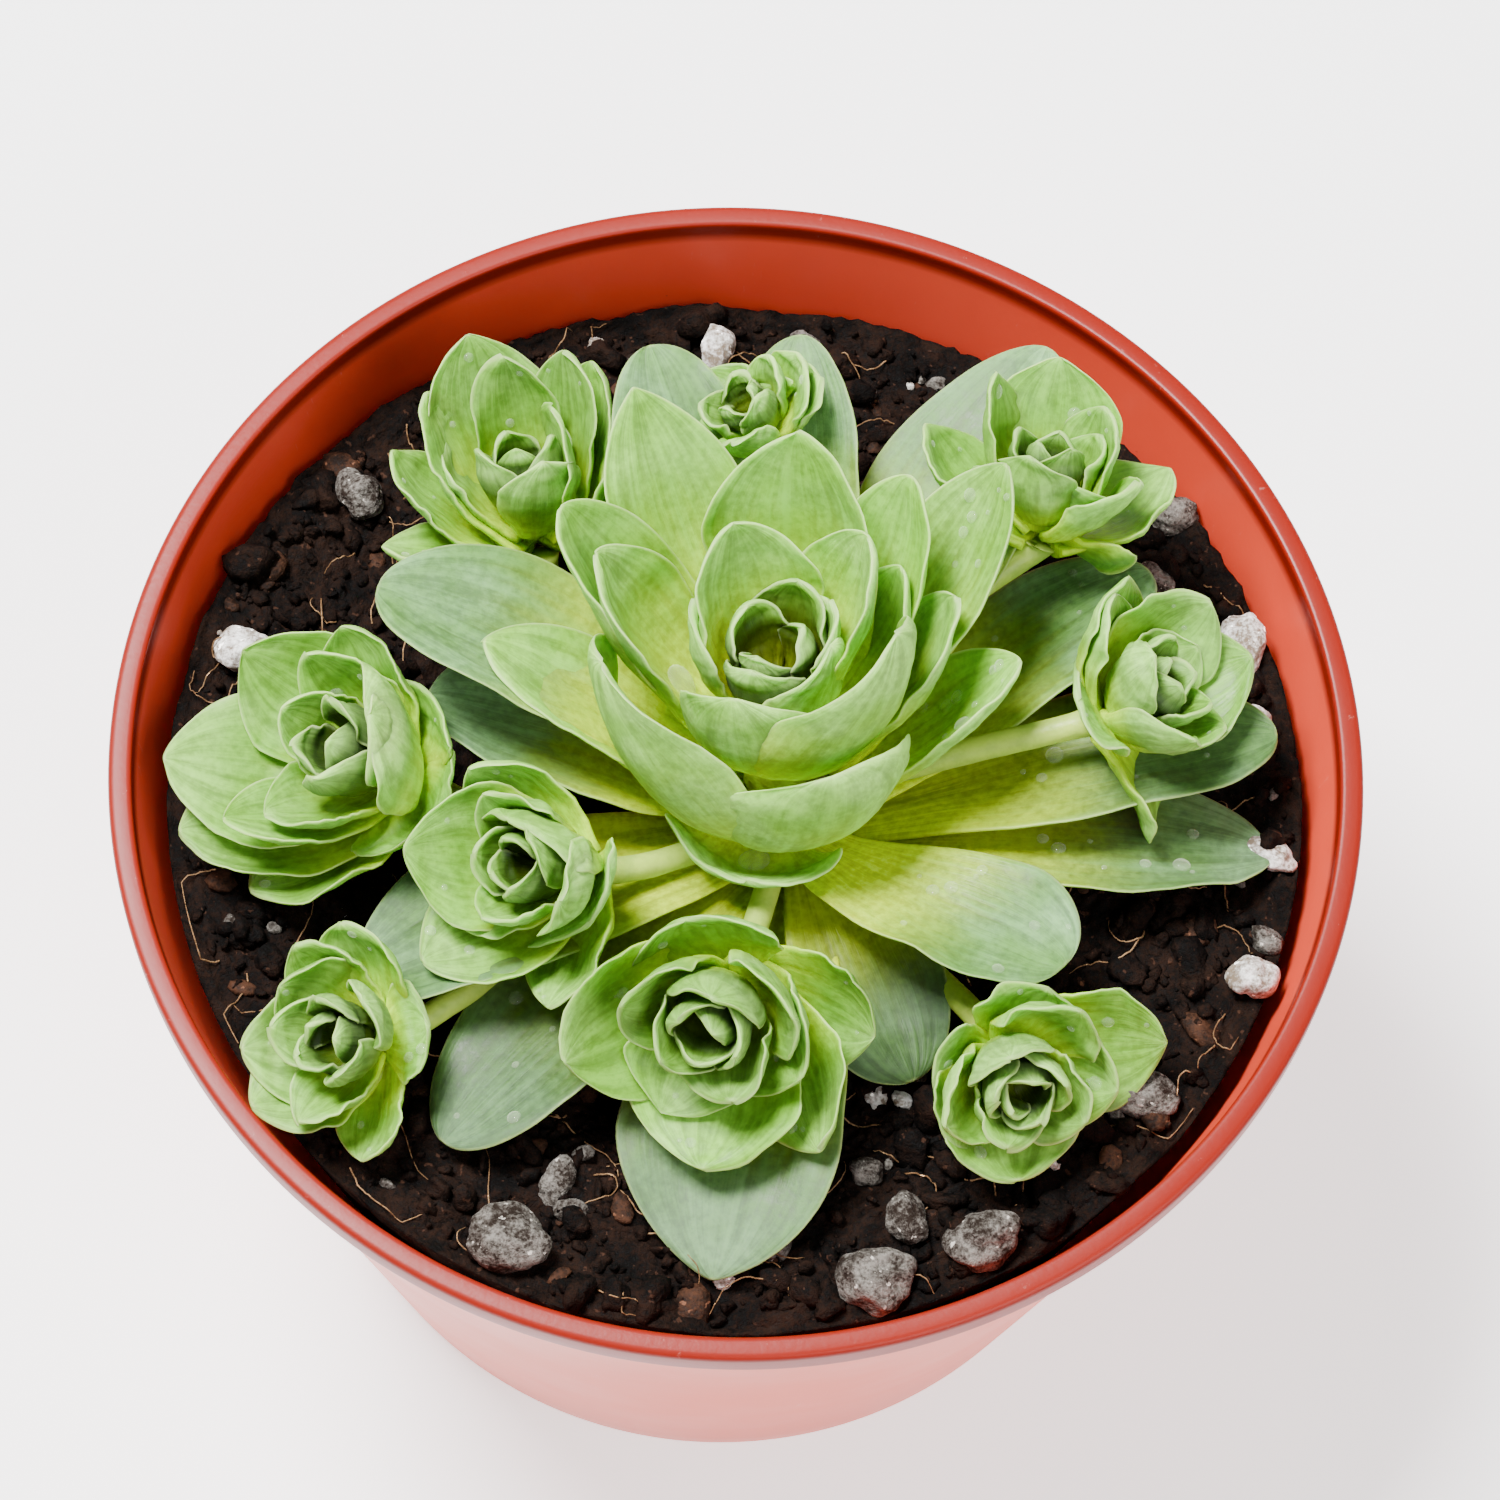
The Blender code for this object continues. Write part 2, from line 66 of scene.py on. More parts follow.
def place_camera():
    """The camera's back axis points away from the aim, and its right and up axes are turned by the
    roll."""
    back = Vector((0.0, -math.cos(CAMERA_RISE), math.sin(CAMERA_RISE)))
    level_right = Vector((1.0, 0.0, 0.0))
    level_up = back.cross(level_right)
    right = level_right * math.cos(CAMERA_ROLL) + level_up * math.sin(CAMERA_ROLL)
    up = level_up * math.cos(CAMERA_ROLL) - level_right * math.sin(CAMERA_ROLL)
    data = bpy.data.cameras.new("camera")
    data.lens = LENS
    data.sensor_width = SENSOR
    data.shift_x = SHIFT_RIGHT
    camera = bpy.data.objects.new("camera", data)
    turn = Matrix((right, up, back)).transposed().to_4x4()
    camera.matrix_world = Matrix.Translation(AIM + back * CAMERA_DISTANCE) @ turn
    bpy.context.scene.collection.objects.link(camera)
    bpy.context.scene.camera = camera
    return camera


camera = place_camera()
print("camera at", [round(value, 3) for value in camera.location])

# %% [markdown]
# ## Light and floor
# A pale floor and an even white world make a soft studio. A strong lamp high over the plant, a little to
# the left and behind, gives the leaves their form and casts the shadows between them. A wide, weak lamp
# from the front right keeps the shaded side open. The floor glows faintly, so that it stays near white in
# the pot's own shadow.

# %% Light and floor
WORLD_STRENGTH = 0.5
PAPER_GLOW = 1.0
PAPER_WHITE = 0.93
FLOOR_REACH = 1.5
LAMPS = {
    "key_lamp": ((-0.22, 0.14, 0.67), 0.22, 17.0),
    "fill_lamp": ((0.40, -0.40, 0.55), 0.5, 5.0),
}


def make_world():
    """An even white surround."""
    world = bpy.data.worlds.new("studio")
    world.use_nodes = True
    shade = world.node_tree.nodes["Background"]
    shade.inputs["Color"].default_value = (1.0, 1.0, 1.0, 1.0)
    shade.inputs["Strength"].default_value = WORLD_STRENGTH
    bpy.context.scene.world = world


def make_lamp(name, place, size, power):
    """A square lamp that points at the plant."""
    data = bpy.data.lights.new(name, "AREA")
    data.size = size
    data.energy = power
    lamp = bpy.data.objects.new(name, data)
    lamp.location = place
    lamp.rotation_euler = (AIM - Vector(place)).to_track_quat("-Z", "Y").to_euler()
    bpy.context.scene.collection.objects.link(lamp)


def make_floor():
    """One large square of pale, matt, faintly glowing paper."""
    side = FLOOR_REACH
    mesh = bpy.data.meshes.new("floor")
    corners = [(-side, -side, 0), (side, -side, 0), (side, side, 0), (-side, side, 0)]
    mesh.from_pydata(corners, [], [(0, 1, 2, 3)])
    floor = bpy.data.objects.new("floor", mesh)
    bpy.context.scene.collection.objects.link(floor)
    paper = bpy.data.materials.new("paper")
    paper.use_nodes = True
    shader = paper.node_tree.nodes["Principled BSDF"]
    shader.inputs["Base Color"].default_value = (PAPER_WHITE, PAPER_WHITE, PAPER_WHITE, 1.0)
    shader.inputs["Roughness"].default_value = 0.9
    shader.inputs["Emission Color"].default_value = (1.0, 1.0, 1.0, 1.0)
    shader.inputs["Emission Strength"].default_value = PAPER_GLOW
    mesh.materials.append(paper)


make_world()
for lamp_name, (lamp_place, lamp_size, lamp_power) in LAMPS.items():
    make_lamp(lamp_name, lamp_place, lamp_size, lamp_power)
make_floor()
print("lamps:", list(LAMPS))

# %% [markdown]
# ## A leaf as a surface
# Every leaf of a rosette is the same fleshy spoon: a narrower foot, a broad shoulder two thirds of the
# way along, and a blunt point. It could be sculpted, or cut from a plane and bent by modifiers. Here it
# is a formula instead, because a formula gives nearly two hundred leaves their own size and pose from one
# short row of numbers.
#
# First come the small tools that every surface here uses: directions round a tilted axis, a soft step,
# and a smooth random surface.

# %% Frames and noise
def unit(vector):
    """The vector at length one."""
    vector = np.asarray(vector, float)
    return vector / np.linalg.norm(vector)


def axis_frame(axis):
    """Two directions square to an axis: the first as close to +X as it can be, the second a quarter turn
    on."""
    axis = unit(axis)
    first = unit(np.array([1.0, 0.0, 0.0]) - axis * axis[0])
    return axis, first, np.cross(axis, first)


def ramp(values, low, high):
    """0 below low, 1 above high, and a smooth S between them."""
    share = np.clip((values - low) / (high - low), 0.0, 1.0)
    return share * share * (3.0 - 2.0 * share)


def full_turn(count):
    """Even angles once round."""
    return np.arange(count) * math.tau / count


def ripple(a, b, seed, octaves=3):
    """A smooth random surface over two coordinates: sines of random direction and phase, finer and weaker
    each octave. It stays within about -1 and 1."""
    rng = np.random.default_rng(seed)
    total = np.zeros(np.broadcast(a, b).shape)
    size = 0.0
    for octave in range(octaves):
        for wave in range(4):
            turn, phase = rng.uniform(0, math.tau, 2)
            pitch = 2.0 ** octave * rng.uniform(0.7, 1.4)
            total += np.sin(pitch * (a * math.cos(turn) + b * math.sin(turn)) * math.tau + phase) / 2 ** octave
        size += 2.2 / 2 ** octave
    return total / size


print("helpers ready")

# %% [markdown]
# A leaf's midrib starts on the stem and curves out and up, in a plane through the stem's axis. It is a
# cubic curve, because that takes just what can be seen of a leaf: where it starts and ends, and how
# steeply it does both. The outline gives the half width at each share of the length. A large roundness
# exponent closes it to a point, and a small one to a square end.

# %% The leaf's outline and its midrib
FOOT_WIDTH = 0.42
SWELL_POWER = 1.2
CLOSE_POWER = 1.9
MIDRIB_STEPS = 160


def half_width(along, roundness, shoulder):
    """Half the leaf's width as a share of its full width. It swells from the foot to the shoulder as a
    quarter sine, then closes to the tip as a superellipse."""
    swell = np.sin(np.clip(along / shoulder, 0, 1) * math.pi / 2) ** SWELL_POWER
    past = np.clip((along - shoulder) / (1 - shoulder), 0, 1)
    rising = FOOT_WIDTH + (1 - FOOT_WIDTH) * swell
    closing = np.clip(1 - past ** CLOSE_POWER, 0, 1) ** roundness
    return 0.5 * np.where(along < shoulder, rising, closing)


def midrib(along, foot, tip, rise_foot, rise_tip, hold):
    """Distance from the stem's axis, height and rise at each share of the length. The midrib is a cubic
    curve in the plane of the axis. It leaves the foot and reaches the tip at the given rises, and holds
    each of them for a share of the straight distance between. Even steps along it are read off its
    running length."""
    foot, tip = np.array(foot, float), np.array(tip, float)
    span = np.linalg.norm(tip - foot) * hold
    leave, arrive = np.radians(rise_foot), np.radians(rise_tip)
    curve = bezier(foot, foot + span * np.array([math.cos(leave), math.sin(leave)]),
                   tip - span * np.array([math.cos(arrive), math.sin(arrive)]), tip, MIDRIB_STEPS)
    length = np.concatenate([[0.0], np.cumsum(np.linalg.norm(np.diff(curve, axis=0), axis=1))])
    here = along * length[-1]
    radius, height = np.interp(here, length, curve[:, 0]), np.interp(here, length, curve[:, 1])
    slope = np.gradient(curve, axis=0)
    rise = np.interp(here, length, np.unwrap(np.arctan2(slope[:, 1], slope[:, 0])))
    return radius, height, rise, length[-1]


def bezier(start, one, two, end, count):
    """Points along a cubic curve, from the weights of its four control points."""
    share = np.linspace(0.0, 1.0, count)[:, None]
    rest = 1.0 - share
    return start * rest ** 3 + one * 3 * rest ** 2 * share + two * 3 * rest * share ** 2 + end * share ** 3


print("outline at the shoulder:", half_width(np.array([0.6]), 0.6, 0.6)[0])

# %% [markdown]
# Across the midrib the leaf is an arc of a circle, so it holds water like a spoon. Each cross section is
# a closed ring: out along the upper side, round the edge and back along the under side. The flesh is
# thick along the middle and thin at the edge, and thins towards the tip.
#
# A leaf row holds, in millimetres and degrees: the tip's azimuth round the stem, the foot's height on the
# stem, the tip's distance from the axis and its height, the midrib's rise at the foot and at the tip, the
# width, the cup (how many degrees of arc the full width spans) and the roundness. Optional words bend the
# leaf further: sweep puts the foot at another azimuth than the tip, roll turns the blade about its
# midrib, shoulder moves the widest part, and wave makes the edge wander.

# %% One leaf's points
LEAF_THICK = 1.1
LEAF_ROWS = 36
LEAF_AROUND = 40
ROW_CROWDING = 1.7
UNEVEN_WIDTH = 0.07
SURFACE_WAVE = 0.22
FOOT_FLESH = 1.35
FLESH_LOST = 0.75
TIP_TAPER = 0.04


def row_shares(rows):
    """Shares along the leaf, crowded towards the tip, where the outline turns fastest."""
    return 1.0 - (1.0 - np.linspace(0.0, 1.0, rows)) ** ROW_CROWDING


def leaf_points(row, base, axis, root_radius, seed, rows=LEAF_ROWS, around=LEAF_AROUND, thick=LEAF_THICK,
                sweep=0.0, roll=0.0, shoulder=0.62, wave=0.5, hold=0.38):
    """One leaf as rings of points round its cross section. A point's angle round the ring gives its place
    across the leaf (cosine) and its side (sign of the sine). Returns the points, and per point the share
    along, the distance from the edge in millimetres, the place across from -1 to 1, and 1 on the under
    side."""
    azimuth, foot_height, reach, tip_height, rise_foot, rise_tip, width, cup, roundness = row
    axis, first, second = axis_frame(axis)
    along = row_shares(rows)
    radius, climb, rise, length = midrib(along, (root_radius, foot_height), (reach, tip_height), rise_foot,
                                         rise_tip, hold)
    angle = np.radians(azimuth - sweep * (1 - along) ** 1.5)
    outward = np.cos(angle)[:, None] * first + np.sin(angle)[:, None] * second
    across = np.cos(angle)[:, None] * second - np.sin(angle)[:, None] * first
    lift = np.cos(rise)[:, None] * axis - np.sin(rise)[:, None] * outward
    lean = np.radians(roll) * along[:, None]
    across, lift = across * np.cos(lean) + lift * np.sin(lean), lift * np.cos(lean) - across * np.sin(lean)
    middle = np.asarray(base, float) + outward * radius[:, None] + climb[:, None] * axis

    ring = full_turn(around)
    place = np.cos(ring)[None, :]
    side = np.sign(np.sin(ring) + 1e-12)[None, :]
    uneven = 1.0 + UNEVEN_WIDTH * ripple(along[:, None] * 1.1, np.sign(place) * 0.8, seed + 2, 2)
    half = width * half_width(along, roundness, shoulder)[:, None] * uneven
    offset = place * half
    wrap = width / math.radians(cup)
    turn = offset / wrap
    edge = np.abs(place) ** 3 * ramp(along, 0.15, 0.6)[:, None]
    wander = ripple(along[:, None] * 1.7, place * 0.5, seed) * wave * edge
    body = SURFACE_WAVE * ripple(along[:, None] * 2.2, offset / 9.0, seed + 1)
    slim = FOOT_FLESH - FLESH_LOST * along[:, None]
    bulge = side * 0.5 * thick * slim * np.clip(1 - np.abs(place) ** 2.6, 0, 1) ** 0.5
    bulge = bulge * np.clip((1 - along) / TIP_TAPER, 0, 1)[:, None] ** 0.5
    normal = lift[:, None, :] * np.cos(turn)[..., None] - across[:, None, :] * np.sin(turn)[..., None]
    points = (middle[:, None, :] + across[:, None, :] * (wrap * np.sin(turn))[..., None]
              + lift[:, None, :] * (wrap * (1 - np.cos(turn)))[..., None]
              + normal * (wander + body + bulge)[..., None])
    from_edge = np.minimum((1 - np.abs(place)) * half, ((1 - along) * length * 0.8)[:, None])
    share = np.broadcast_to(along[:, None], from_edge.shape)
    place = np.broadcast_to(place, from_edge.shape)
    return points, share, from_edge, place, np.broadcast_to(side < 0, share.shape)


print("points in one leaf:", LEAF_ROWS * LEAF_AROUND)

# %% [markdown]
# The rings become a mesh: quads join each ring to the next, one point closes the foot and one the tip.
# Six numbers stay with every point as attributes, because the waxy skin's colour follows the leaf. Four are
# the point's own: the share along, the distance from the edge, the place across and the side. Two are the
# whole leaf's: its tone_and_shade, which varies each leaf's colour and on the lower leaves is partly painted
# shade, and its depth in the bud, which paints the leaves deep in a bud darker as painted shade.

# %% Rings to mesh
def ring_faces(rows, around, first_index):
    """Quads between neighbouring rings, with each ring closed on itself."""
    grid = first_index + np.arange(rows * around).reshape(rows, around)
    after = np.roll(grid, -1, axis=1)
    return np.stack([grid[:-1], after[:-1], after[1:], grid[1:]], axis=-1).reshape(-1, 4)


def fan_faces(ring, centre, flip):
    """Triangles from a centre point to each pair of neighbours on a ring."""
    after = np.roll(ring, -1)
    pair = (after, ring) if flip else (ring, after)
    return np.stack([pair[0], pair[1], np.full(len(ring), centre)], axis=-1)


def build_mesh(name, points, quads, triangles, attributes, material):
    """Put arrays of points (millimetres), faces and per-point numbers into one smooth mesh object."""
    mesh = bpy.data.meshes.new(name)
    faces = [quads.ravel(), triangles.ravel()]
    sizes = np.concatenate([np.full(len(quads), 4), np.full(len(triangles), 3)]).astype(np.int32)
    mesh.vertices.add(len(points))
    mesh.vertices.foreach_set("co", (points * MM).astype(np.float32).ravel())
    mesh.loops.add(int(sizes.sum()))
    mesh.loops.foreach_set("vertex_index", np.concatenate(faces).astype(np.int32))
    mesh.polygons.add(len(sizes))
    mesh.polygons.foreach_set("loop_start", np.concatenate([[0], np.cumsum(sizes)[:-1]]).astype(np.int32))
    mesh.update(calc_edges=True)
    mesh.shade_smooth()
    for key, values in attributes.items():
        layer = mesh.attributes.new(key, "FLOAT", "POINT")
        layer.data.foreach_set("value", np.asarray(values, np.float32).ravel())
    mesh.validate()
    item = bpy.data.objects.new(name, mesh)
    bpy.context.scene.collection.objects.link(item)
    mesh.materials.append(material)
    return item


def build_leaves(name, leaves, material):
    """Join any number of leaves, each (points, share, from_edge, across, under, tone_and_shade, depth), into one
    object. tone_and_shade is partly painted shade on the lower leaves, and depth is painted shade deep in a bud."""
    points, quads, triangles, values, count = [], [], [], [], 0
    for grid, share, from_edge, place, under, tone_and_shade, depth in leaves:
        rows, around, _ = grid.shape
        index = count + np.arange(rows * around).reshape(rows, around)
        foot, tip = count + rows * around, count + rows * around + 1
        quads.append(ring_faces(rows - 1, around, count))
        triangles.append(fan_faces(index[0], foot, True))
        triangles.append(fan_faces(index[rows - 2], tip, False))
        points.append(np.concatenate([grid.reshape(-1, 3), [grid[0].mean(axis=0), grid[-1].mean(axis=0)]]))
        ends = np.array([[0.0, 1.0, 0.0, 0.0, tone_and_shade, depth], [1.0, 0.0, 0.0, 0.0, tone_and_shade, depth]])
        fill = np.stack([share, from_edge, place, under, share * 0 + tone_and_shade, share * 0 + depth], axis=-1)
        values.append(np.concatenate([fill.reshape(-1, 6), ends]))
        count += rows * around + 2
    points, values = np.concatenate(points), np.concatenate(values)
    used = np.unique(np.concatenate([np.concatenate(quads).ravel(), np.concatenate(triangles).ravel()]))
    renumber = np.zeros(len(points), int)
    renumber[used] = np.arange(len(used))
    names = ("share", "from_edge", "across", "under", "tone_and_shade", "depth")
    attributes = {key: values[used, column] for column, key in enumerate(names)}
    return build_mesh(name, points[used], renumber[np.concatenate(quads)], renumber[np.concatenate(triangles)],
                      attributes, material)


print("attributes per point: share, from_edge, across, under, tone, depth")

# %% [markdown]
# ## Waxy skin
# A glaucous leaf is green flesh under a thin powdery wax. Towards the foot the wax is missing and the
# flesh is yellow-green and bright; that brightness is partly painted light, for light shining through the thin
# flesh. Towards the tip, and on the under side, the wax makes it blue-grey.
# The very edge is thin and nearly white. A painted texture could show this. A shader node group does it
# from the leaf's own attributes, so that one group serves old, young and offset leaves with different
# colours.

# %% Helpers for shader nodes
def add_node(tree, kind, inputs=(), **settings):
    """Add a node. Each (name or index, value) in inputs is a socket to link from, or a value to set."""
    node = tree.nodes.new(kind)
    for key, value in settings.items():
        setattr(node, key, value)
    for key, value in inputs:
        if isinstance(value, bpy.types.NodeSocket):
            tree.links.new(value, node.inputs[key])
        else:
            node.inputs[key].default_value = value
    return node


def maths(tree, operation, *values):
    """One step of arithmetic on sockets or numbers."""
    return add_node(tree, "ShaderNodeMath", list(enumerate(values)), operation=operation).outputs[0]


def smooth(tree, value, low, high, to_low=0.0, to_high=1.0):
    """A smooth S from to_low at low to to_high at high."""
    inputs = [("Value", value), ("From Min", low), ("From Max", high), ("To Min", to_low), ("To Max", to_high)]
    return add_node(tree, "ShaderNodeMapRange", inputs, interpolation_type="SMOOTHSTEP").outputs["Result"]


def blend(tree, share, first, second, mode="MIX"):
    """The first colour at share 0, and the second, or its product with the first, at share 1."""
    node = add_node(tree, "ShaderNodeMix", (), data_type="RGBA", blend_type=mode)
    for key, value in ((0, share), (6, first), (7, second)):
        if isinstance(value, bpy.types.NodeSocket):
            tree.links.new(value, node.inputs[key])
        else:
            node.inputs[key].default_value = value
    return node.outputs[2]


def noise(tree, vector, scale, detail=3.0, roughness=0.55):
    """Random patches from 0 to 1, as many to a unit of the vector as the scale says."""
    inputs = [("Vector", vector), ("Scale", scale), ("Detail", detail), ("Roughness", roughness)]
    return add_node(tree, "ShaderNodeTexNoise", inputs).outputs["Fac"]


def attribute(tree, name):
    """A number that the mesh keeps at its points."""
    return add_node(tree, "ShaderNodeAttribute", (), attribute_name=name).outputs["Fac"]


def stretch(tree, vector, scale):
    """The vector multiplied by a scale of its own along each axis."""
    return add_node(tree, "ShaderNodeMapping", [("Vector", vector), ("Scale", scale)]).outputs["Vector"]


def object_place(tree):
    """The point's own place, in metres."""
    return add_node(tree, "ShaderNodeTexCoord").outputs["Object"]


def grey(tree, value):
    """A grey of the given brightness."""
    return add_node(tree, "ShaderNodeCombineColor", [(0, value), (1, value), (2, value)]).outputs[0]


def new_material(name):
    """A material with its node tree and the Principled shader that every skin here ends in."""
    material = bpy.data.materials.new(name)
    material.use_nodes = True
    return material, material.node_tree, material.node_tree.nodes["Principled BSDF"]


def emboss(tree, shader, height, strength, distance):
    """Fine relief on the shader, from a height between 0 and 1 and a depth in metres."""
    inputs = [("Strength", strength), ("Distance", distance), ("Height", height)]
    bump = add_node(tree, "ShaderNodeBump", inputs)
    tree.links.new(bump.outputs["Normal"], shader.inputs["Normal"])


def let_light_in(shader, weight, colours, depth):
    """Light that enters the skin, spreads under it and comes out again, to a depth in metres per
    colour."""
    shader.inputs["Subsurface Weight"].default_value = weight
    shader.inputs["Subsurface Radius"].default_value = colours
    shader.inputs["Subsurface Scale"].default_value = depth


def new_group(name, inputs, outputs):
    """A shader group with named sockets. Each input is (name, kind, value), each output (name, kind)."""
    group = bpy.data.node_groups.new(name, "ShaderNodeTree")
    for label, kind, value in inputs:
        socket = group.interface.new_socket(label, in_out="INPUT", socket_type=kind)
        socket.default_value = value
    for label, kind in outputs:
        group.interface.new_socket(label, in_out="OUTPUT", socket_type=kind)
    start = group.nodes.new("NodeGroupInput")
    end = group.nodes.new("NodeGroupOutput")
    return group, start.outputs, end.inputs


COLOUR, FLOAT = "NodeSocketColor", "NodeSocketFloat"
print("node helpers ready")

# %% [markdown]
# The group mixes four colours in the order in which the leaf lays them down: flesh from foot to body, wax
# over it, fine mottling, and last the pale margin. Before the margin, painted shade darkens the lower leaves
# that lie under the others and the leaves deep in a bud. Its sockets are what differs from one kind
# of leaf to the next.

# %% The waxy skin group
def make_waxy_skin():
    """Colour, roughness and height of a leaf's skin. The colour goes from foot to body along the leaf,
    then towards the bloom where wax gathers; the bright foot colour is partly painted light shining
    through the flesh. Streaks run lengthwise under a fine speckle. The leaf's tone_and_shade and its depth
    in the bud darken the whole: on the lower leaves the first is partly painted shade, darkest where they
    lie under the others, elsewhere it varies each leaf's colour, and the depth is painted shade deep in a
    bud. The margin's colour shows within about a quarter of a millimetre of the edge."""
    inputs = [
        ("Foot", COLOUR, (0.45, 0.58, 0.04, 1)), ("Body", COLOUR, (0.26, 0.44, 0.09, 1)),
        ("Bloom", COLOUR, (0.45, 0.62, 0.36, 1)), ("Margin", COLOUR, (0.75, 0.84, 0.5, 1)),
        ("Wax", FLOAT, 0.5), ("Foot Reach", FLOAT, 0.5), ("Mottle", FLOAT, 0.35),
    ]
    outputs = [("Color", COLOUR), ("Roughness", FLOAT), ("Height", FLOAT)]
    tree, given, result = new_group("waxy_skin", inputs, outputs)
    place = object_place(tree)
    share, edge = attribute(tree, "share"), attribute(tree, "from_edge")
    across, under, tone_and_shade = attribute(tree, "across"), attribute(tree, "under"), attribute(tree, "tone_and_shade")
    strip = add_node(tree, "ShaderNodeCombineXYZ", [("X", across), ("Y", share), ("Z", tone_and_shade)]).outputs[0]

    wide = noise(tree, place, 130.0, 2.0)
    streak = noise(tree, stretch(tree, strip, (7.0, 1.6, 40.0)), 1.0, 4.0, 0.6)
    cells = noise(tree, place, 1400.0, 3.0, 0.6)
    shifted = maths(tree, "ADD", share, maths(tree, "MULTIPLY", maths(tree, "SUBTRACT", streak, 0.5), 0.35))
    growth = smooth(tree, maths(tree, "DIVIDE", shifted, given["Foot Reach"]), 0.25, 1.35)
    # The foot colour is the flesh's own yellow-green, made brighter as painted light shining through the thin
    # flesh.
    colour = blend(tree, growth, given["Foot"], given["Body"])

    tipward = smooth(tree, shifted, 0.3, 1.0, 0.1, 1.0)
    below = maths(tree, "MULTIPLY", under, smooth(tree, share, 0.1, 0.6, 0.0, 0.8))
    dusting = maths(tree, "ADD", tipward, below)
    patches = smooth(tree, wide, 0.35, 0.68, 0.45, 1.25)
    wax = maths(tree, "MULTIPLY", maths(tree, "MULTIPLY", dusting, patches), given["Wax"])
    colour = blend(tree, maths(tree, "MINIMUM", wax, 0.92), colour, given["Bloom"])

    grain = maths(tree, "ADD", maths(tree, "MULTIPLY", streak, 0.6), maths(tree, "MULTIPLY", cells, 0.4))
    shade = smooth(tree, grain, 0.34, 0.66, 0.55, 1.3)
    colour = blend(tree, given["Mottle"], colour, blend(tree, 1.0, colour, grey(tree, shade), "MULTIPLY"))
    # Painted shade: a leaf's depth in a bud darkens it, most towards its foot, and the tone_and_shade number
    # multiplies in.
    deep = maths(tree, "MULTIPLY", attribute(tree, "depth"), smooth(tree, share, 0.55, 1.0, 1.0, 0.25))
    painted_bud_shade = smooth(tree, deep, 0.0, 1.0, 1.0, 0.12)
    shade_and_tone_factor = maths(tree, "MULTIPLY", smooth(tree, tone_and_shade, 0.0, 1.0, 0.50, 1.12), painted_bud_shade)
    colour = blend(tree, 1.0, colour, grey(tree, shade_and_tone_factor), "MULTIPLY")

    ragged = maths(tree, "ADD", edge, maths(tree, "MULTIPLY", maths(tree, "SUBTRACT", cells, 0.5), 0.35))
    rim = maths(tree, "MULTIPLY", smooth(tree, ragged, -0.05, 0.26, 0.38, 0.0), smooth(tree, share, 0.2, 0.5))
    colour = blend(tree, rim, colour, given["Margin"])
    tree.links.new(colour, result["Color"])
    tree.links.new(smooth(tree, maths(tree, "ADD", wax, cells), 0.3, 1.4, 0.36, 0.62), result["Roughness"])
    height = maths(tree, "ADD", maths(tree, "MULTIPLY", cells, 0.3), maths(tree, "MULTIPLY", streak, 1.0))
    tree.links.new(height, result["Height"])
    return tree


waxy_skin = make_waxy_skin()
print("group:", waxy_skin.name)

# %% [markdown]
# Three materials share the group. The cup's leaves are fresh green, the lower leaves darker and bluer,
# and the young offsets lie between. Leaf flesh is wet and lets light through, so a third of the light
# goes in under the skin.

# %% Leaf materials
def make_leaf_material(name, wax, foot_reach, mottle, colours):
    """A Principled skin over the waxy group, with a little light let through the flesh."""
    material, tree, shader = new_material(name)
    group = tree.nodes.new("ShaderNodeGroup")
    group.node_tree = waxy_skin
    for label, value in colours.items():
        group.inputs[label].default_value = (*value, 1.0)
    group.inputs["Wax"].default_value = wax
    group.inputs["Foot Reach"].default_value = foot_reach
    group.inputs["Mottle"].default_value = mottle
    tree.links.new(group.outputs["Color"], shader.inputs["Base Color"])
    tree.links.new(group.outputs["Roughness"], shader.inputs["Roughness"])
    emboss(tree, shader, group.outputs["Height"], 0.5, 0.0002)
    let_light_in(shader, 0.35, (0.6, 1.0, 0.25), 0.0022)
    shader.inputs["Specular IOR Level"].default_value = 0.3
    return material


# Each Foot colour is the flesh's yellow-green, brightened as painted light shining through the thin flesh.
FRESH = {"Foot": (0.54, 0.72, 0.002), "Body": (0.120, 0.32, 0.003), "Bloom": (0.27, 0.52, 0.10),
         "Margin": (0.62, 0.84, 0.32)}
OLD = {"Foot": (0.58, 0.74, 0.002), "Body": (0.050, 0.14, 0.004), "Bloom": (0.15, 0.29, 0.12),
       "Margin": (0.46, 0.64, 0.20)}
YOUNG = {"Foot": (0.42, 0.66, 0.003), "Body": (0.105, 0.29, 0.004), "Bloom": (0.26, 0.50, 0.10),
         "Margin": (0.58, 0.80, 0.28)}
cup_skin = make_leaf_material("cup_leaf_skin", 0.62, 0.62, 0.8, FRESH)
lower_skin = make_leaf_material("lower_leaf_skin", 0.75, 0.60, 0.9, OLD)
offset_skin = make_leaf_material("offset_leaf_skin", 0.58, 0.50, 0.8, YOUNG)
print("leaf skins:", cup_skin.name, lower_skin.name, offset_skin.name)

# %% [markdown]
# ## The mother rosette
# The mother plant leans a little back from the front. Its lower leaves lie out over the soil, and its
# upper leaves stand in a cup round the heart. Each leaf keeps the place that the model gives it, and
# replaces that plain solid.

# %% Mother leaves
STEM_BASE = np.array([5.0, -4.0, 62.0])
STEM_LEAN = np.array([-0.13, 0.36, 0.92])
LEAF_ROOT = 3.7
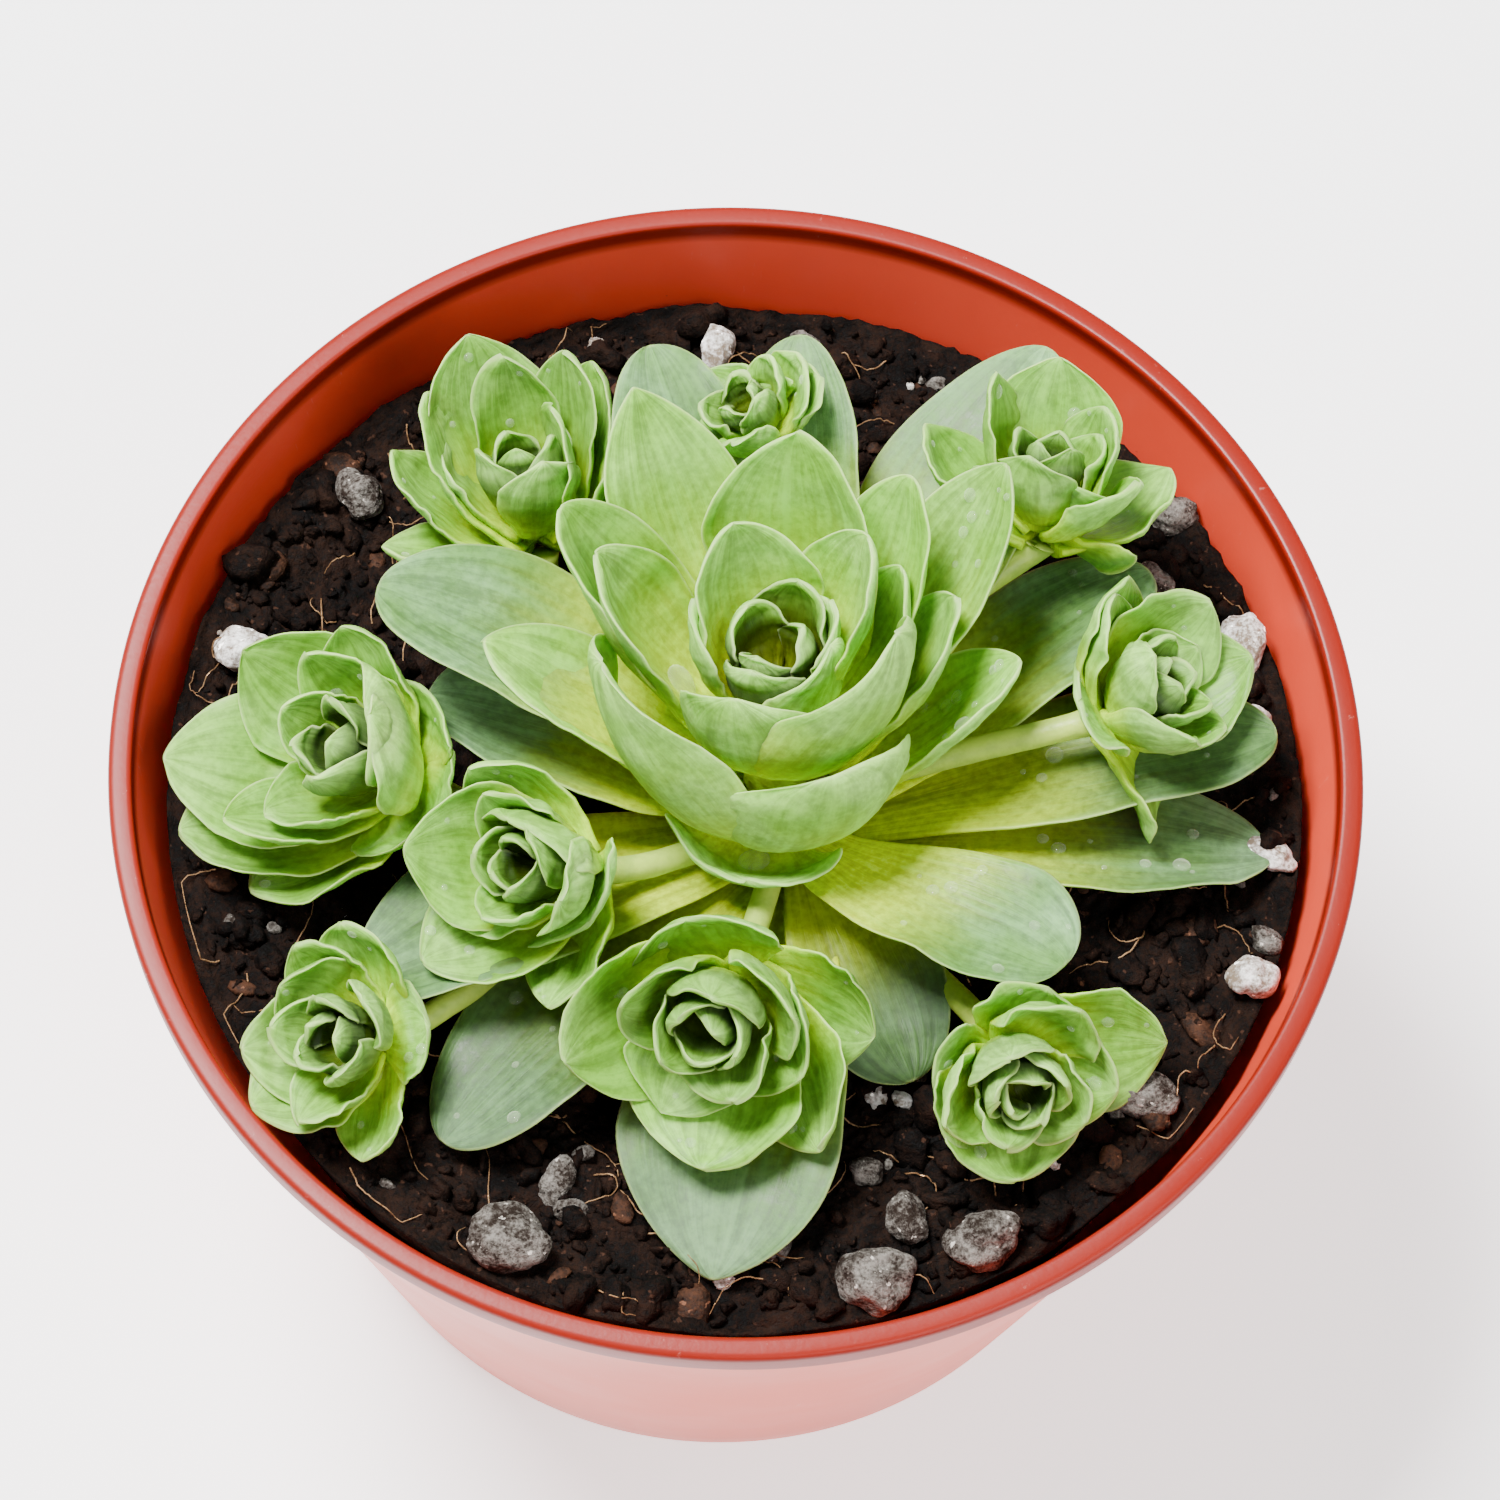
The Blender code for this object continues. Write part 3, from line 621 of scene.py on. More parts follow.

# Painted shade and tone, listed per lower leaf: the low values darken the leaves that lie low under the others,
# as painted shade; the high ones set the leaf's own colour.
LOWER_SHADE_AND_TONES = (0.4, 0.5, 0.2, 0.0, 0.4, 0.5, 0.95, 0.7, 0.6, 0.85, 0.85, 0.9, 0.8)
LOWER_LEAVES = (
    ((261, 0.0, 36.5, -10.5, -8, -22, 18, 50, 0.75), {"shoulder": 0.66}),
    ((358, 0.6, 38.7, -1.0, 8, -10, 14, 50, 0.60), {}),
    ((226, 1.8, 38.4, -3.4, 2, -14, 14, 50, 0.50), {}),
    ((296, 1.5, 22.0, -6.5, -4, -26, 12, 45, 0.55), {}),
    ((6, 2.0, 39.5, 7.5, 14, 2, 13, 60, 0.55), {"roll": 12}),
    ((207, 2.6, 37.0, 4.0, 8, -6, 16.5, 55, 0.50), {}),
    ((323, 3.5, 27.5, 3.0, 18, -16, 12.5, 50, 0.42), {"shoulder": 0.7, "sweep": 24}),
    ((28, 3.5, 33.5, 14.8, 22, 16, 14, 55, 0.55), {}),
    ((174, 4.8, 28.5, 15.5, 28, 12, 15.5, 60, 0.55), {}),
    ((54, 5.0, 36.9, 27.0, 36, 33, 16, 60, 0.55), {}),
    ((111, 5.0, 28.6, 31.3, 46, 42, 13, 60, 0.50), {}),
    ((172, 6.8, 31.2, 26.4, 44, 22, 16, 60, 0.50), {}),
    ((86.5, 6.8, 28.6, 30.3, 46, 38, 11, 60, 0.50), {}),
)
CUP_LEAVES = (
    ((258, 5.8, 12.0, 8.8, -20, 62, 17, 115, 0.79), {"sweep": 14}),
    ((3, 6.5, 19.3, 19.5, 25, 55, 11, 120, 0.79), {}),
    ((181, 7.6, 22.3, 24.5, 32, 50, 12, 80, 0.70), {}),
    ((32, 7.5, 22.0, 30.4, 46, 64, 12.5, 80, 0.73), {}),
    ((293, 7.8, 13.2, 20.6, 4, 104, 20, 125, 0.35), {"sweep": 16, "shoulder": 0.74}),
    ((209, 8.6, 14.0, 27.9, 0, 97, 20, 120, 0.70), {"sweep": -48, "shoulder": 0.7}),
    ((124, 9.2, 18.6, 36.5, 50, 70, 13.5, 90, 0.89), {}),
    ((10, 10.2, 14.5, 25.0, 35, 85, 11, 110, 0.79), {}),
    ((40, 9.8, 14.8, 31.4, 50, 78, 12, 90, 0.68), {}),
    ((165, 10.8, 16.0, 34.2, 46, 80, 14, 132, 0.68), {"sweep": 15}),
    ((74, 12.0, 9.9, 36.4, 50, 92, 17, 120, 0.92), {}),
    ((175, 12.4, 12.8, 32.0, 50, 88, 13, 120, 0.79), {"sweep": 12}),
)
leaf_grids = {}


def make_mother_leaves():
    """Each leaf from its row, put in the place of its own node. Its points are kept for the water
    drops."""
    made = []
    groups = (("lower_leaf", LOWER_LEAVES, lower_skin), ("cup_leaf", CUP_LEAVES, cup_skin))
    rng = np.random.default_rng(4)
    for ring, leaves, skin in groups:
        for index, (row, bends) in enumerate(leaves):
            node = f"{ring}_{index + 1:02d}"
            shape = leaf_points(row, STEM_BASE, STEM_LEAN, LEAF_ROOT, 100 + index, **bends)
            leaf_grids[node] = shape[0]
            # The lower leaves take their listed painted shade and tone, the cup leaves a random tone.
            tone_and_shade = LOWER_SHADE_AND_TONES[index] if ring == "lower_leaf" else rng.uniform(0.6, 1.0)
            leaf = build_leaves(f"{node}_blade", [(*shape, tone_and_shade, 0.0)], skin)
            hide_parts(node)
            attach(leaf, "root")
            made.append(leaf)
    return made


mother_leaves = make_mother_leaves()
print("mother leaves:", len(mother_leaves))

# %% [markdown]
# The youngest leaves still hold together as a bud, so they are one piece. They are short, cupped and
# nearly upright, and each hides most of the next. Little light gets down between them, and the deep ones
# are darker.

# %% Heart bud
BUD_ROOT = 1.2
BUD_LEAVES = (
    ((24, 11.0, 11.4, 26.3, 40, 90, 10, 110, 0.73), {}),
    ((330, 12.4, 11.8, 29.2, 12, 98, 18, 140, 0.79), {"sweep": 40}),
    ((254, 12.4, 8.8, 25.4, 10, 100, 16, 140, 0.67), {}),
    ((120, 15.0, 4.8, 32.0, 60, 100, 14, 140, 0.92), {}),
    ((25, 15.0, 8.8, 30.5, 50, 88, 13, 130, 0.70), {}),
    ((335, 16.0, 5.2, 24.6, 15, 110, 11, 150, 0.85), {"sweep": 42}),
    ((165, 16.0, 5.8, 26.6, 30, 105, 10, 150, 0.89), {}),
    ((22, 16.5, 4.8, 25.6, 30, 105, 10, 150, 0.89), {}),
    ((57, 17.0, 4.3, 26.4, 40, 105, 10, 150, 0.89), {}),
    ((250, 17.5, 3.6, 23.4, 30, 110, 9, 160, 0.79), {}),
    ((130, 18.0, 2.8, 25.2, 50, 110, 8, 160, 0.85), {}),
    ((10, 18.0, 2.6, 24.2, 50, 110, 7, 160, 0.85), {}),
    ((240, 18.5, 2.0, 23.4, 50, 110, 6, 160, 0.85), {}),
)


def make_heart():
    """All the bud's leaves in one piece, in order from the outside in. Their depth darkens them, as painted shade
    deep in the bud.
    """
    rng = np.random.default_rng(9)
    leaves = []
    for index, (row, bends) in enumerate(BUD_LEAVES):
        shape = leaf_points(row, STEM_BASE, STEM_LEAN, BUD_ROOT, 300 + index, wave=0.4, **bends)
        # Depth paints shade on the inner leaves: the deeper a leaf sits in the bud, the darker.
        depth = index / (len(BUD_LEAVES) - 1)
        leaves.append((*shape, rng.uniform(0.65, 1.0), min(1.0, max(0.0, depth * 2.2 - 0.6))))
    heart = build_leaves("heart_bud_leaves", leaves, cup_skin)
    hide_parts("heart_bud")
    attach(heart, "root")
    return heart


heart = make_heart()
print("heart:", len(heart.data.polygons), "faces")

# %% [markdown]
# ## Offsets
# Nine young rosettes sit at the ends of the runners. The grown leaves round the outside, the skirt, are
# given one by one, because they show how each rosette leans on its neighbours. The young leaves inside
# follow one rule: each is a golden angle on from the last, and gets shorter, narrower and more upright
# towards the heart.
#
# An offset's entry holds its place, its axis, its heart as (length, width, first azimuth, rise of the
# outer leaves, count), and its skirt as rows of (azimuth, reach, tip height, width).

# %% Offset rosettes
GOLDEN_ANGLE = 137.5
OFFSET_ROOT = 0.8
OFFSET_ROWS = 28
OFFSET_AROUND = 30
OFFSET_THICK = 0.9
OFFSETS = {
    "back_left": (
        (-17.0, 16.5, 70.0), (-0.2, 0.6, 0.8), (11, 10, 20, 42, 8),
        ((120, 7.0, 18.0, 13), (100, 2.5, 17.5, 8), (45, 6.0, 16.5, 10), (45, 8.5, 14.5, 10),
         (160, 7.5, 15.0, 10), (170, 11.0, 10.5, 10), (190, 12.5, 4.0, 9), (25, 3.0, 13.0, 14)),
    ),
    "back": (
        (1.6, 25.2, 76.5), (-0.55, 0.2, 0.85), (7, 6.5, 130, 40, 8),
        ((95, 3.0, 5.0, 9), (155, 4.5, 5.0, 8), (20, 6.0, 6.0, 9), (15, 6.5, 4.0, 8),
         (170, 6.0, 4.5, 7)),
    ),
    "back_right": (
        (23.0, 17.2, 76.5), (0.05, 0.65, 0.75), (9.5, 9, 330, 42, 8),
        ((160, 5.5, 14.0, 9), (155, 11.0, 8.0, 10), (90, 5.5, 14.5, 12), (30, 4.5, 12.0, 9),
         (25, 11.0, 6.5, 13), (250, 2.5, 7.5, 13), (25, 5.0, -1.5, 14)),
    ),
    "right": (
        (27.4, 3.1, 74.5), (0.75, 0.25, 0.65), (9.5, 9, 150, 42, 9),
        ((135, 8.5, 9.0, 10), (90, 6.0, 12.5, 11), (40, 8.0, 12.0, 11), (345, 11.5, -2.0, 10),
         (345, 6.0, 9.5, 9), (210, 5.0, 2.5, 11)),
    ),
    "front_right": (
        (21.6, -22.0, 68.6), (0.25, -0.75, 0.6), (9, 10, 60, 38, 10),
        ((5, 13.0, 3.5, 12), (270, 7.5, 8.5, 12), (190, 6.0, 4.0, 12), (65, 7.0, 2.5, 12),
         (355, 8.0, 7.0, 11), (230, 7.0, 6.5, 10)),
    ),
    "front": (
        (1.2, -18.3, 72.0), (-0.25, -0.8, 0.55), (11, 12, 250, 38, 10),
        ((115, 7.5, 5.0, 15), (200, 11.0, 12.0, 14), (340, 8.0, 9.0, 12), (350, 12.0, 2.5, 13),
         (275, 11.5, 11.5, 15), (315, 13.5, 8.5, 11)),
    ),
    "front_left": (
        (-10.2, -11.1, 72.0), (-0.7, -0.25, 0.65), (10.5, 10, 200, 42, 9),
        ((125, 9.0, 10.0, 10), (175, 8.0, 13.5, 13), (225, 11.0, 11.0, 12), (275, 11.0, 5.5, 9),
         (75, 3.5, 11.0, 14), (315, 5.5, 4.5, 13)),
    ),
    "far_left": (
        (-25.5, -24.5, 67.2), (-0.55, -0.3, 0.75), (9.5, 8, 120, 40, 9),
        ((95, 9.0, 6.5, 9), (145, 6.5, 8.0, 11), (190, 8.4, 8.4, 10), (220, 9.0, 8.4, 10),
         (275, 9.5, 4.0, 7), (15, 5.0, 1.5, 9)),
    ),
    "left": (
        (-25.0, -3.8, 70.5), (-0.65, -0.05, 0.75), (12, 11, 90, 42, 8),
        ((180, 14.5, 14.5, 15), (135, 12.5, 12.5, 13), (105, 7.5, 12.0, 9), (60, 7.0, 5.0, 15),
         (15, 5.5, 12.0, 15), (220, 14.5, 7.0, 11), (200, 15.5, 12.0, 14), (220, 9.5, 14.0, 9),
         (305, 6.5, 2.0, 13)),
    ),
}


def heart_rows(length, width, spin, open_rise, count):
    """Rows for the young leaves. A leaf's rank, from 0 outside to 1 at the heart, sets everything but its
    azimuth: outer leaves are longer and lean out, inner ones are short, close to the axis and nearly
    upright."""
    rows = []
    for index in range(count):
        rank = index / (count - 1)
        rise = math.radians(open_rise + (84 - open_rise) * rank ** 0.7)
        size = length * (1 - 0.5 * rank)
        foot = length * (0.2 + 0.3 * rank)
        tip = (OFFSET_ROOT + size * math.cos(rise), foot + size * math.sin(rise))
        rises = (math.degrees(rise) - 28, math.degrees(rise) + 22 + 10 * rank)
        rows.append((spin + GOLDEN_ANGLE * index, foot, *tip, *rises, width * (1 - 0.5 * rank),
                     110 + 40 * rank, 0.85))
    return rows


def skirt_rows(skirt):
    """Rows for the grown leaves round the outside, from (azimuth, reach, tip height, width). The further
    a leaf reaches, the lower it starts. A leaf that climbs curls up towards its tip, and a drooping one
    curls down."""
    rows = []
    for azimuth, reach, tip_height, width in skirt:
        foot = max(0.0, 3.0 - 0.22 * reach)
        rise = math.degrees(math.atan2(tip_height - foot, reach - OFFSET_ROOT))
        curl = 28 * min(max((tip_height - 1.0) / 5.0, -0.6), 1.0)
        rows.append((azimuth, foot, reach, tip_height, rise - curl, rise + curl, width, 85, 0.8))
    return rows


offset_grids = {}


def make_offsets():
    """Each offset's skirt and heart leaves as one piece. Their points are kept for the water drops."""
    made = {}
    for number, (place, (base, axis, heart_spec, skirt)) in enumerate(OFFSETS.items()):
        rng = np.random.default_rng(60 + number)
        leaves = []
        rows = skirt_rows(skirt) + heart_rows(*heart_spec)
        for index, row in enumerate(rows):
            shape = leaf_points(row, base, axis, OFFSET_ROOT, 1000 + 40 * number + index, OFFSET_ROWS,
                                OFFSET_AROUND, OFFSET_THICK)
            # The heart's inner leaves get a depth that paints them darker, as painted shade deep in the offset.
            depth = (index - len(skirt)) / (len(rows) - 1 - len(skirt))
            leaves.append((*shape, rng.uniform(0.55, 1.0), min(1.0, max(0.0, depth * 1.5 - 0.2))))
        offset_grids[place] = [leaf[0] for leaf in leaves]
        rosette = build_leaves(f"offset_{place}_leaves", leaves, offset_skin)
        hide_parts(f"offset_{place}")
        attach(rosette, "root")
        made[place] = rosette
    return made


offsets = make_offsets()
print("offsets:", len(offsets))

# %% [markdown]
# ## Runners and stem
# Each offset hangs on to the mother plant by a runner, a fleshy pale green stem as thick as a match. It
# leaves the mother stem between the leaves and ends under the offset. A bevelled curve object would draw
# such a tube, but one worked out as rings can also swell and be uneven, and the coir fibres can use the
# same tube.

# %% Tubes along a path
def tube_frames(path):
    """Two directions square to a path at each of its points: the first leans towards the world's up, and
    the second is square to both."""
    along = np.gradient(path, axis=0)
    along /= np.linalg.norm(along, axis=1, keepdims=True)
    guide = np.where(np.abs(along[:, 2:]) > 0.95, np.array([[1.0, 0.0, 0.0]]), np.array([[0.0, 0.0, 1.0]]))
    side = np.cross(along, guide)
    side /= np.linalg.norm(side, axis=1, keepdims=True)
    return np.cross(side, along), side


def tube_grid(path, radius, around):
    """Rings of points round a path. Radius has one value per point of the path, or one per point and
    direction."""
    first, second = tube_frames(path)
    turn = full_turn(around)
    radius = np.broadcast_to(np.asarray(radius, float).reshape(len(path), -1), (len(path), around))
    ring = first[:, None] * np.cos(turn)[None, :, None] + second[:, None] * np.sin(turn)[None, :, None]
    return path[:, None] + ring * radius[..., None]


def closed_grids(grids):
    """Points, quads and triangles of any number of ring grids, each closed at both ends by a fan."""
    points, quads, triangles, count = [], [], [], 0
    for grid in grids:
        rows, around, _ = grid.shape
        index = count + np.arange(rows * around).reshape(rows, around)
        quads.append(ring_faces(rows, around, count))
        triangles.append(fan_faces(index[0], count + rows * around, True))
        triangles.append(fan_faces(index[-1], count + rows * around + 1, False))
        points.append(np.concatenate([grid.reshape(-1, 3), [grid[0].mean(axis=0), grid[-1].mean(axis=0)]]))
        count += rows * around + 2
    return np.concatenate(points), np.concatenate(quads), np.concatenate(triangles)


print("tube helpers ready")

# %% [markdown]
# The runners are still green, while the old stem has browned. One recipe gives both, with a light and a
# dark colour in patches and fine cracks along them.

# %% Stem and runner skins
def make_stem_material(name, light, dark, rough):
    """Green flesh that browns in patches and in fine lengthwise cracks."""
    material, tree, shader = new_material(name)
    place = object_place(tree)
    patch = smooth(tree, noise(tree, place, 260.0, 4.0, 0.65), 0.38, 0.66)
    colour = blend(tree, patch, (*light, 1.0), (*dark, 1.0))
    tree.links.new(colour, shader.inputs["Base Color"])
    tree.links.new(smooth(tree, patch, 0.0, 1.0, rough, rough + 0.2), shader.inputs["Roughness"])
    height = noise(tree, stretch(tree, place, (1400.0, 1400.0, 500.0)), 1.0, 3.0)
    emboss(tree, shader, height, 0.4, 0.0002)
    let_light_in(shader, 0.2, (0.7, 1.0, 0.2), 0.0015)
    return material


runner_skin = make_stem_material("runner_skin", (0.42, 0.56, 0.07), (0.27, 0.40, 0.05), 0.42)
stem_skin = make_stem_material("stem_skin", (0.34, 0.44, 0.06), (0.13, 0.10, 0.04), 0.6)
print("stem skins:", runner_skin.name, stem_skin.name)

# %% [markdown]
# A runner's route is one cubic curve from the stem's side to the offset's foot, a little swollen at both
# ends. Its entry holds the azimuth and the height at which it leaves the stem, how steeply it climbs
# there, and how long it holds its first and its last direction. The stem is a tube too, with a rounded
# top under the bud.

# %% Runners and mother stem
STEM_RADIUS = 3.2
STEM_LOW = -12.0
STEM_HIGH = 15.6
STEM_ROWS = 90
STEM_AROUND = 48
RUNNER_ROOT = 2.2
RUNNER_RADIUS = 1.05
RUNNER_ROWS = 40
RUNNER_AROUND = 18
RUNNERS = {
    "back_left": (141, 0.8, 0.0, 1.0, 1.0),
    "back": (82, 9.2, 0.6, 1.5, 0.36),
    "back_right": (53, 6.5, 1.0, 1.0, 0.16),
    "right": (8, 5.2, 0.6, 0.6, 0.16),
    "front_right": (311, -1.8, 0.0, 1.0, 1.0),
    "front": (258, 3.5, 0.0, 1.0, 1.0),
    "front_left": (216, 5.0, 0.0, 1.0, 1.0),
    "far_left": (193, 0.8, 0.0, 1.0, 0.16),
    "left": (186, -1.5, 0.0, 1.5, 0.36),
}


def make_runners():
    """A tube for each runner, along its own curve, with a slightly uneven skin."""
    axis, first, second = axis_frame(STEM_LEAN)
    for number, (place, (azimuth, height, climb, hold_start, hold_end)) in enumerate(RUNNERS.items()):
        angle = math.radians(azimuth)
        outward = first * math.cos(angle) + second * math.sin(angle)
        start = STEM_BASE + axis * height + outward * RUNNER_ROOT
        lean = unit(OFFSETS[place][1])
        end = np.array(OFFSETS[place][0]) + lean * 0.6
        reach = np.linalg.norm(end - start) / 3
        path = bezier(start, start + (outward + axis * climb) * reach * hold_start, end - lean * reach * hold_end,
                      end, RUNNER_ROWS)
        share = np.linspace(0.0, 1.0, len(path))
        swell = 1.0 + 0.35 * np.exp(-share / 0.06) + 0.5 * np.exp(-(1 - share) / 0.05)
        turn = full_turn(RUNNER_AROUND)
        skin = 1.0 + 0.05 * ripple(share[:, None] * 4.0, np.cos(turn)[None, :] * 0.4, 700 + number)
        grid = tube_grid(path, RUNNER_RADIUS * swell[:, None] * skin, RUNNER_AROUND)
        runner = build_mesh(f"runner_{place}_stem", *closed_grids([grid]), {}, runner_skin)
        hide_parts(f"runner_{place}")
        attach(runner, "root")


def make_stem():
    """The stem's radius carries a low relief of leaf scars, where a left-hand and a right-hand spiral
    cross."""
    height = np.linspace(STEM_LOW, STEM_HIGH, STEM_ROWS)
    path = STEM_BASE + height[:, None] * unit(STEM_LEAN)
    turn = full_turn(STEM_AROUND)
    scars = np.cos(5 * turn[None, :] + height[:, None] * 2.1) * np.cos(3 * turn[None, :] - height[:, None] * 3.4)
    crest = np.sqrt(np.clip((STEM_HIGH + 0.2 - height) / 3.0, 0.0, 1.0))
    uneven = 0.1 * ripple(height[:, None] / 3, np.cos(turn)[None, :], 71)
    radius = (STEM_RADIUS + 0.16 * scars + uneven) * crest[:, None]
    stem = build_mesh("mother_stem_bark", *closed_grids([tube_grid(path, radius, STEM_AROUND)]), {}, stem_skin)
    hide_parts("mother_stem")
    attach(stem, "root")
    return stem


make_runners()
stem = make_stem()
print("runners:", len(RUNNERS), "stem:", len(stem.data.polygons), "faces")

# %% [markdown]
# ## The pot
# The pot is thin, injection-moulded polypropylene: orange-red, a little glossy, and see-through enough
# for its outer wall to look paler than its inside. Its wall is a profile turned round the axis, with
# every edge rounded, and five drain holes are cut in its floor.

# %% Pot profile
POT_HEIGHT = 72.0
RIM_RADIUS = 50.0
FOOT_RADIUS = 37.7
WALL = 1.05
LIP_WIDTH = 1.9
LIP_HEIGHT = 2.8
LIP_OVERHANG = 1.1
FLOOR_RISE = 2.4
FLOOR = 1.5
FOOT_RING = 3.0
DRAIN_RADIUS = 3.0
DRAIN_CIRCLE = 21.0
DRAIN_COUNT = 5
POT_AROUND = 256


def wall_radius(height):
    """The outside of the tapering wall at a height."""
    return FOOT_RADIUS + (RIM_RADIUS - LIP_OVERHANG - FOOT_RADIUS) / (POT_HEIGHT - LIP_HEIGHT) * height


def rounded(corners, steps=5):
    """A profile through corners (radius, height, rounding): each corner becomes an arc-like curve that
    starts and ends its rounding away from it, and long straights are divided so that no face gets very
    long."""
    corners = np.array(corners, float)
    points = [corners[0, :2]]
    for before, here, after in zip(corners[:-2], corners[1:-1], corners[2:]):
        enter = here[:2] + unit(before[:2] - here[:2]) * here[2]
        leave = here[:2] + unit(after[:2] - here[:2]) * here[2]
        share = np.linspace(0.0, 1.0, steps)[:, None]
        arc = enter * (1 - share) ** 2 + here[:2] * 2 * share * (1 - share) + leave * share ** 2
        points.extend(arc if here[2] > 0 else [here[:2]])
    points.append(corners[-1, :2])
    fine = [points[0]]
    for start, end in zip(points, points[1:]):
        pieces = max(1, math.ceil(np.linalg.norm(end - start) / 4.0))
        fine.extend(start + (end - start) * step / pieces for step in range(1, pieces + 1))
    return np.array(fine)


def pot_profile():
    """Half the pot's section: over the floor, up the inside, over the lip, down the outside and under the
    foot."""
    lip = POT_HEIGHT - LIP_HEIGHT
    floor_top = FLOOR_RISE + FLOOR
    inner = wall_radius(floor_top) - WALL
    corners = [
        (0.3, floor_top, 0), (inner, floor_top, 0.8), (wall_radius(lip) - WALL, lip, 0.3),
        (RIM_RADIUS - LIP_WIDTH, POT_HEIGHT - 1.1, 0.3), (RIM_RADIUS - LIP_WIDTH, POT_HEIGHT, 0.45),
        (RIM_RADIUS, POT_HEIGHT, 0.6), (RIM_RADIUS, lip, 0.35), (wall_radius(lip), lip, 0.25),
        (wall_radius(0.0), 0.0, 0.7), (FOOT_RADIUS - FOOT_RING, 0.0, 0.5),
        (FOOT_RADIUS - FOOT_RING - 0.6, FLOOR_RISE, 0.5), (0.3, FLOOR_RISE, 0),
    ]
    return rounded(corners)


profile = pot_profile()
print("pot profile:", len(profile), "points")

# %% [markdown]
# The plastic is one material, with three numbers kept at the pot's points: outside, where light shines
# through the thin wall and pales it, painted light in the colour; lip, where the colour is painted darker
# as painted shade, so that its lit top and outer edge stay dark red; and dirt, where soil has splashed.

# %% Pot plastic
def make_plastic():
    """Orange-red plastic, with painted shade that darkens the lip and painted light that pales the outside.
    A fine moulded grain, rubbed pale scuffs, and specks of soil low on the inner wall."""
    material, tree, shader = new_material("pot_plastic")
    place = object_place(tree)
    cloud = noise(tree, place, 38.0, 3.0)
    outside = attribute(tree, "outside")
    colour = blend(tree, smooth(tree, cloud, 0.3, 0.7), (0.66, 0.056, 0.025, 1.0), (0.74, 0.070, 0.032, 1.0))
    # Painted shade: the lip is darkened so that its lit top and outer edge stay dark red.
    colour = blend(tree, attribute(tree, "lip"), colour, (0.19, 0.008, 0.0025, 1.0))
    # Painted light: the outer wall is paler, for light shining through the thin plastic.
    colour = blend(tree, outside, colour, (0.66, 0.10, 0.055, 1.0))
    scuff = smooth(tree, noise(tree, stretch(tree, place, (900.0, 900.0, 120.0)), 1.0, 4.0, 0.7), 0.66, 0.8)
    colour = blend(tree, maths(tree, "MULTIPLY", scuff, 0.22), colour, (0.80, 0.52, 0.44, 1.0))
    specks = smooth(tree, noise(tree, place, 900.0, 2.0), 0.74, 0.79)
    dust = maths(tree, "MULTIPLY", specks, attribute(tree, "dirt"))
    colour = blend(tree, dust, colour, (0.05, 0.028, 0.018, 1.0))
    tree.links.new(colour, shader.inputs["Base Color"])
    grain = noise(tree, place, 1800.0, 2.0)
    rough = maths(tree, "ADD", smooth(tree, cloud, 0.3, 0.7, 0.34, 0.44), maths(tree, "MULTIPLY", dust, 0.4))
    tree.links.new(rough, shader.inputs["Roughness"])
    emboss(tree, shader, grain, 0.25, 0.00005)
    shader.inputs["Specular IOR Level"].default_value = 0.22
    let_light_in(shader, 0.12, (1.0, 0.35, 0.2), 0.002)
    return material


pot_plastic = make_plastic()
print("material:", pot_plastic.name)

# %% [markdown]
# The profile is turned round the axis like clay on a wheel. The drain holes are cut afterwards, because a
# Boolean leaves the turned rings as they are everywhere else.

# %% Turn the pot and drill it
DRILL_AROUND = 24
SHARP_EDGE = 38


def drill_holes(pot):
    """Cut the drain holes with a Boolean, keep its result as the pot's own mesh, and remove the drills."""
    angle = full_turn(DRILL_AROUND)
    circle = np.stack([np.cos(angle), np.sin(angle), angle * 0], axis=-1) * DRAIN_RADIUS
    height = np.array([-1.0, 2 * (FLOOR_RISE + FLOOR)])[:, None, None] * np.array([0.0, 0.0, 1.0])
    grids = []
    for index in range(DRAIN_COUNT):
        turn = math.tau * index / DRAIN_COUNT
        centre = np.array([math.cos(turn), math.sin(turn), 0.0]) * DRAIN_CIRCLE
        grids.append(circle[None] + centre + height)
    drills = build_mesh("drills", *closed_grids(grids), {}, pot_plastic)
    cut = pot.modifiers.new("drain_holes", "BOOLEAN")
    cut.object = drills
    cut.operation = "DIFFERENCE"
    cut.solver = "EXACT"
    cut_mesh = bpy.data.meshes.new_from_object(pot.evaluated_get(bpy.context.evaluated_depsgraph_get()))
    pot.modifiers.clear()
    pot.data = cut_mesh
    bpy.data.objects.remove(drills, do_unlink=True)


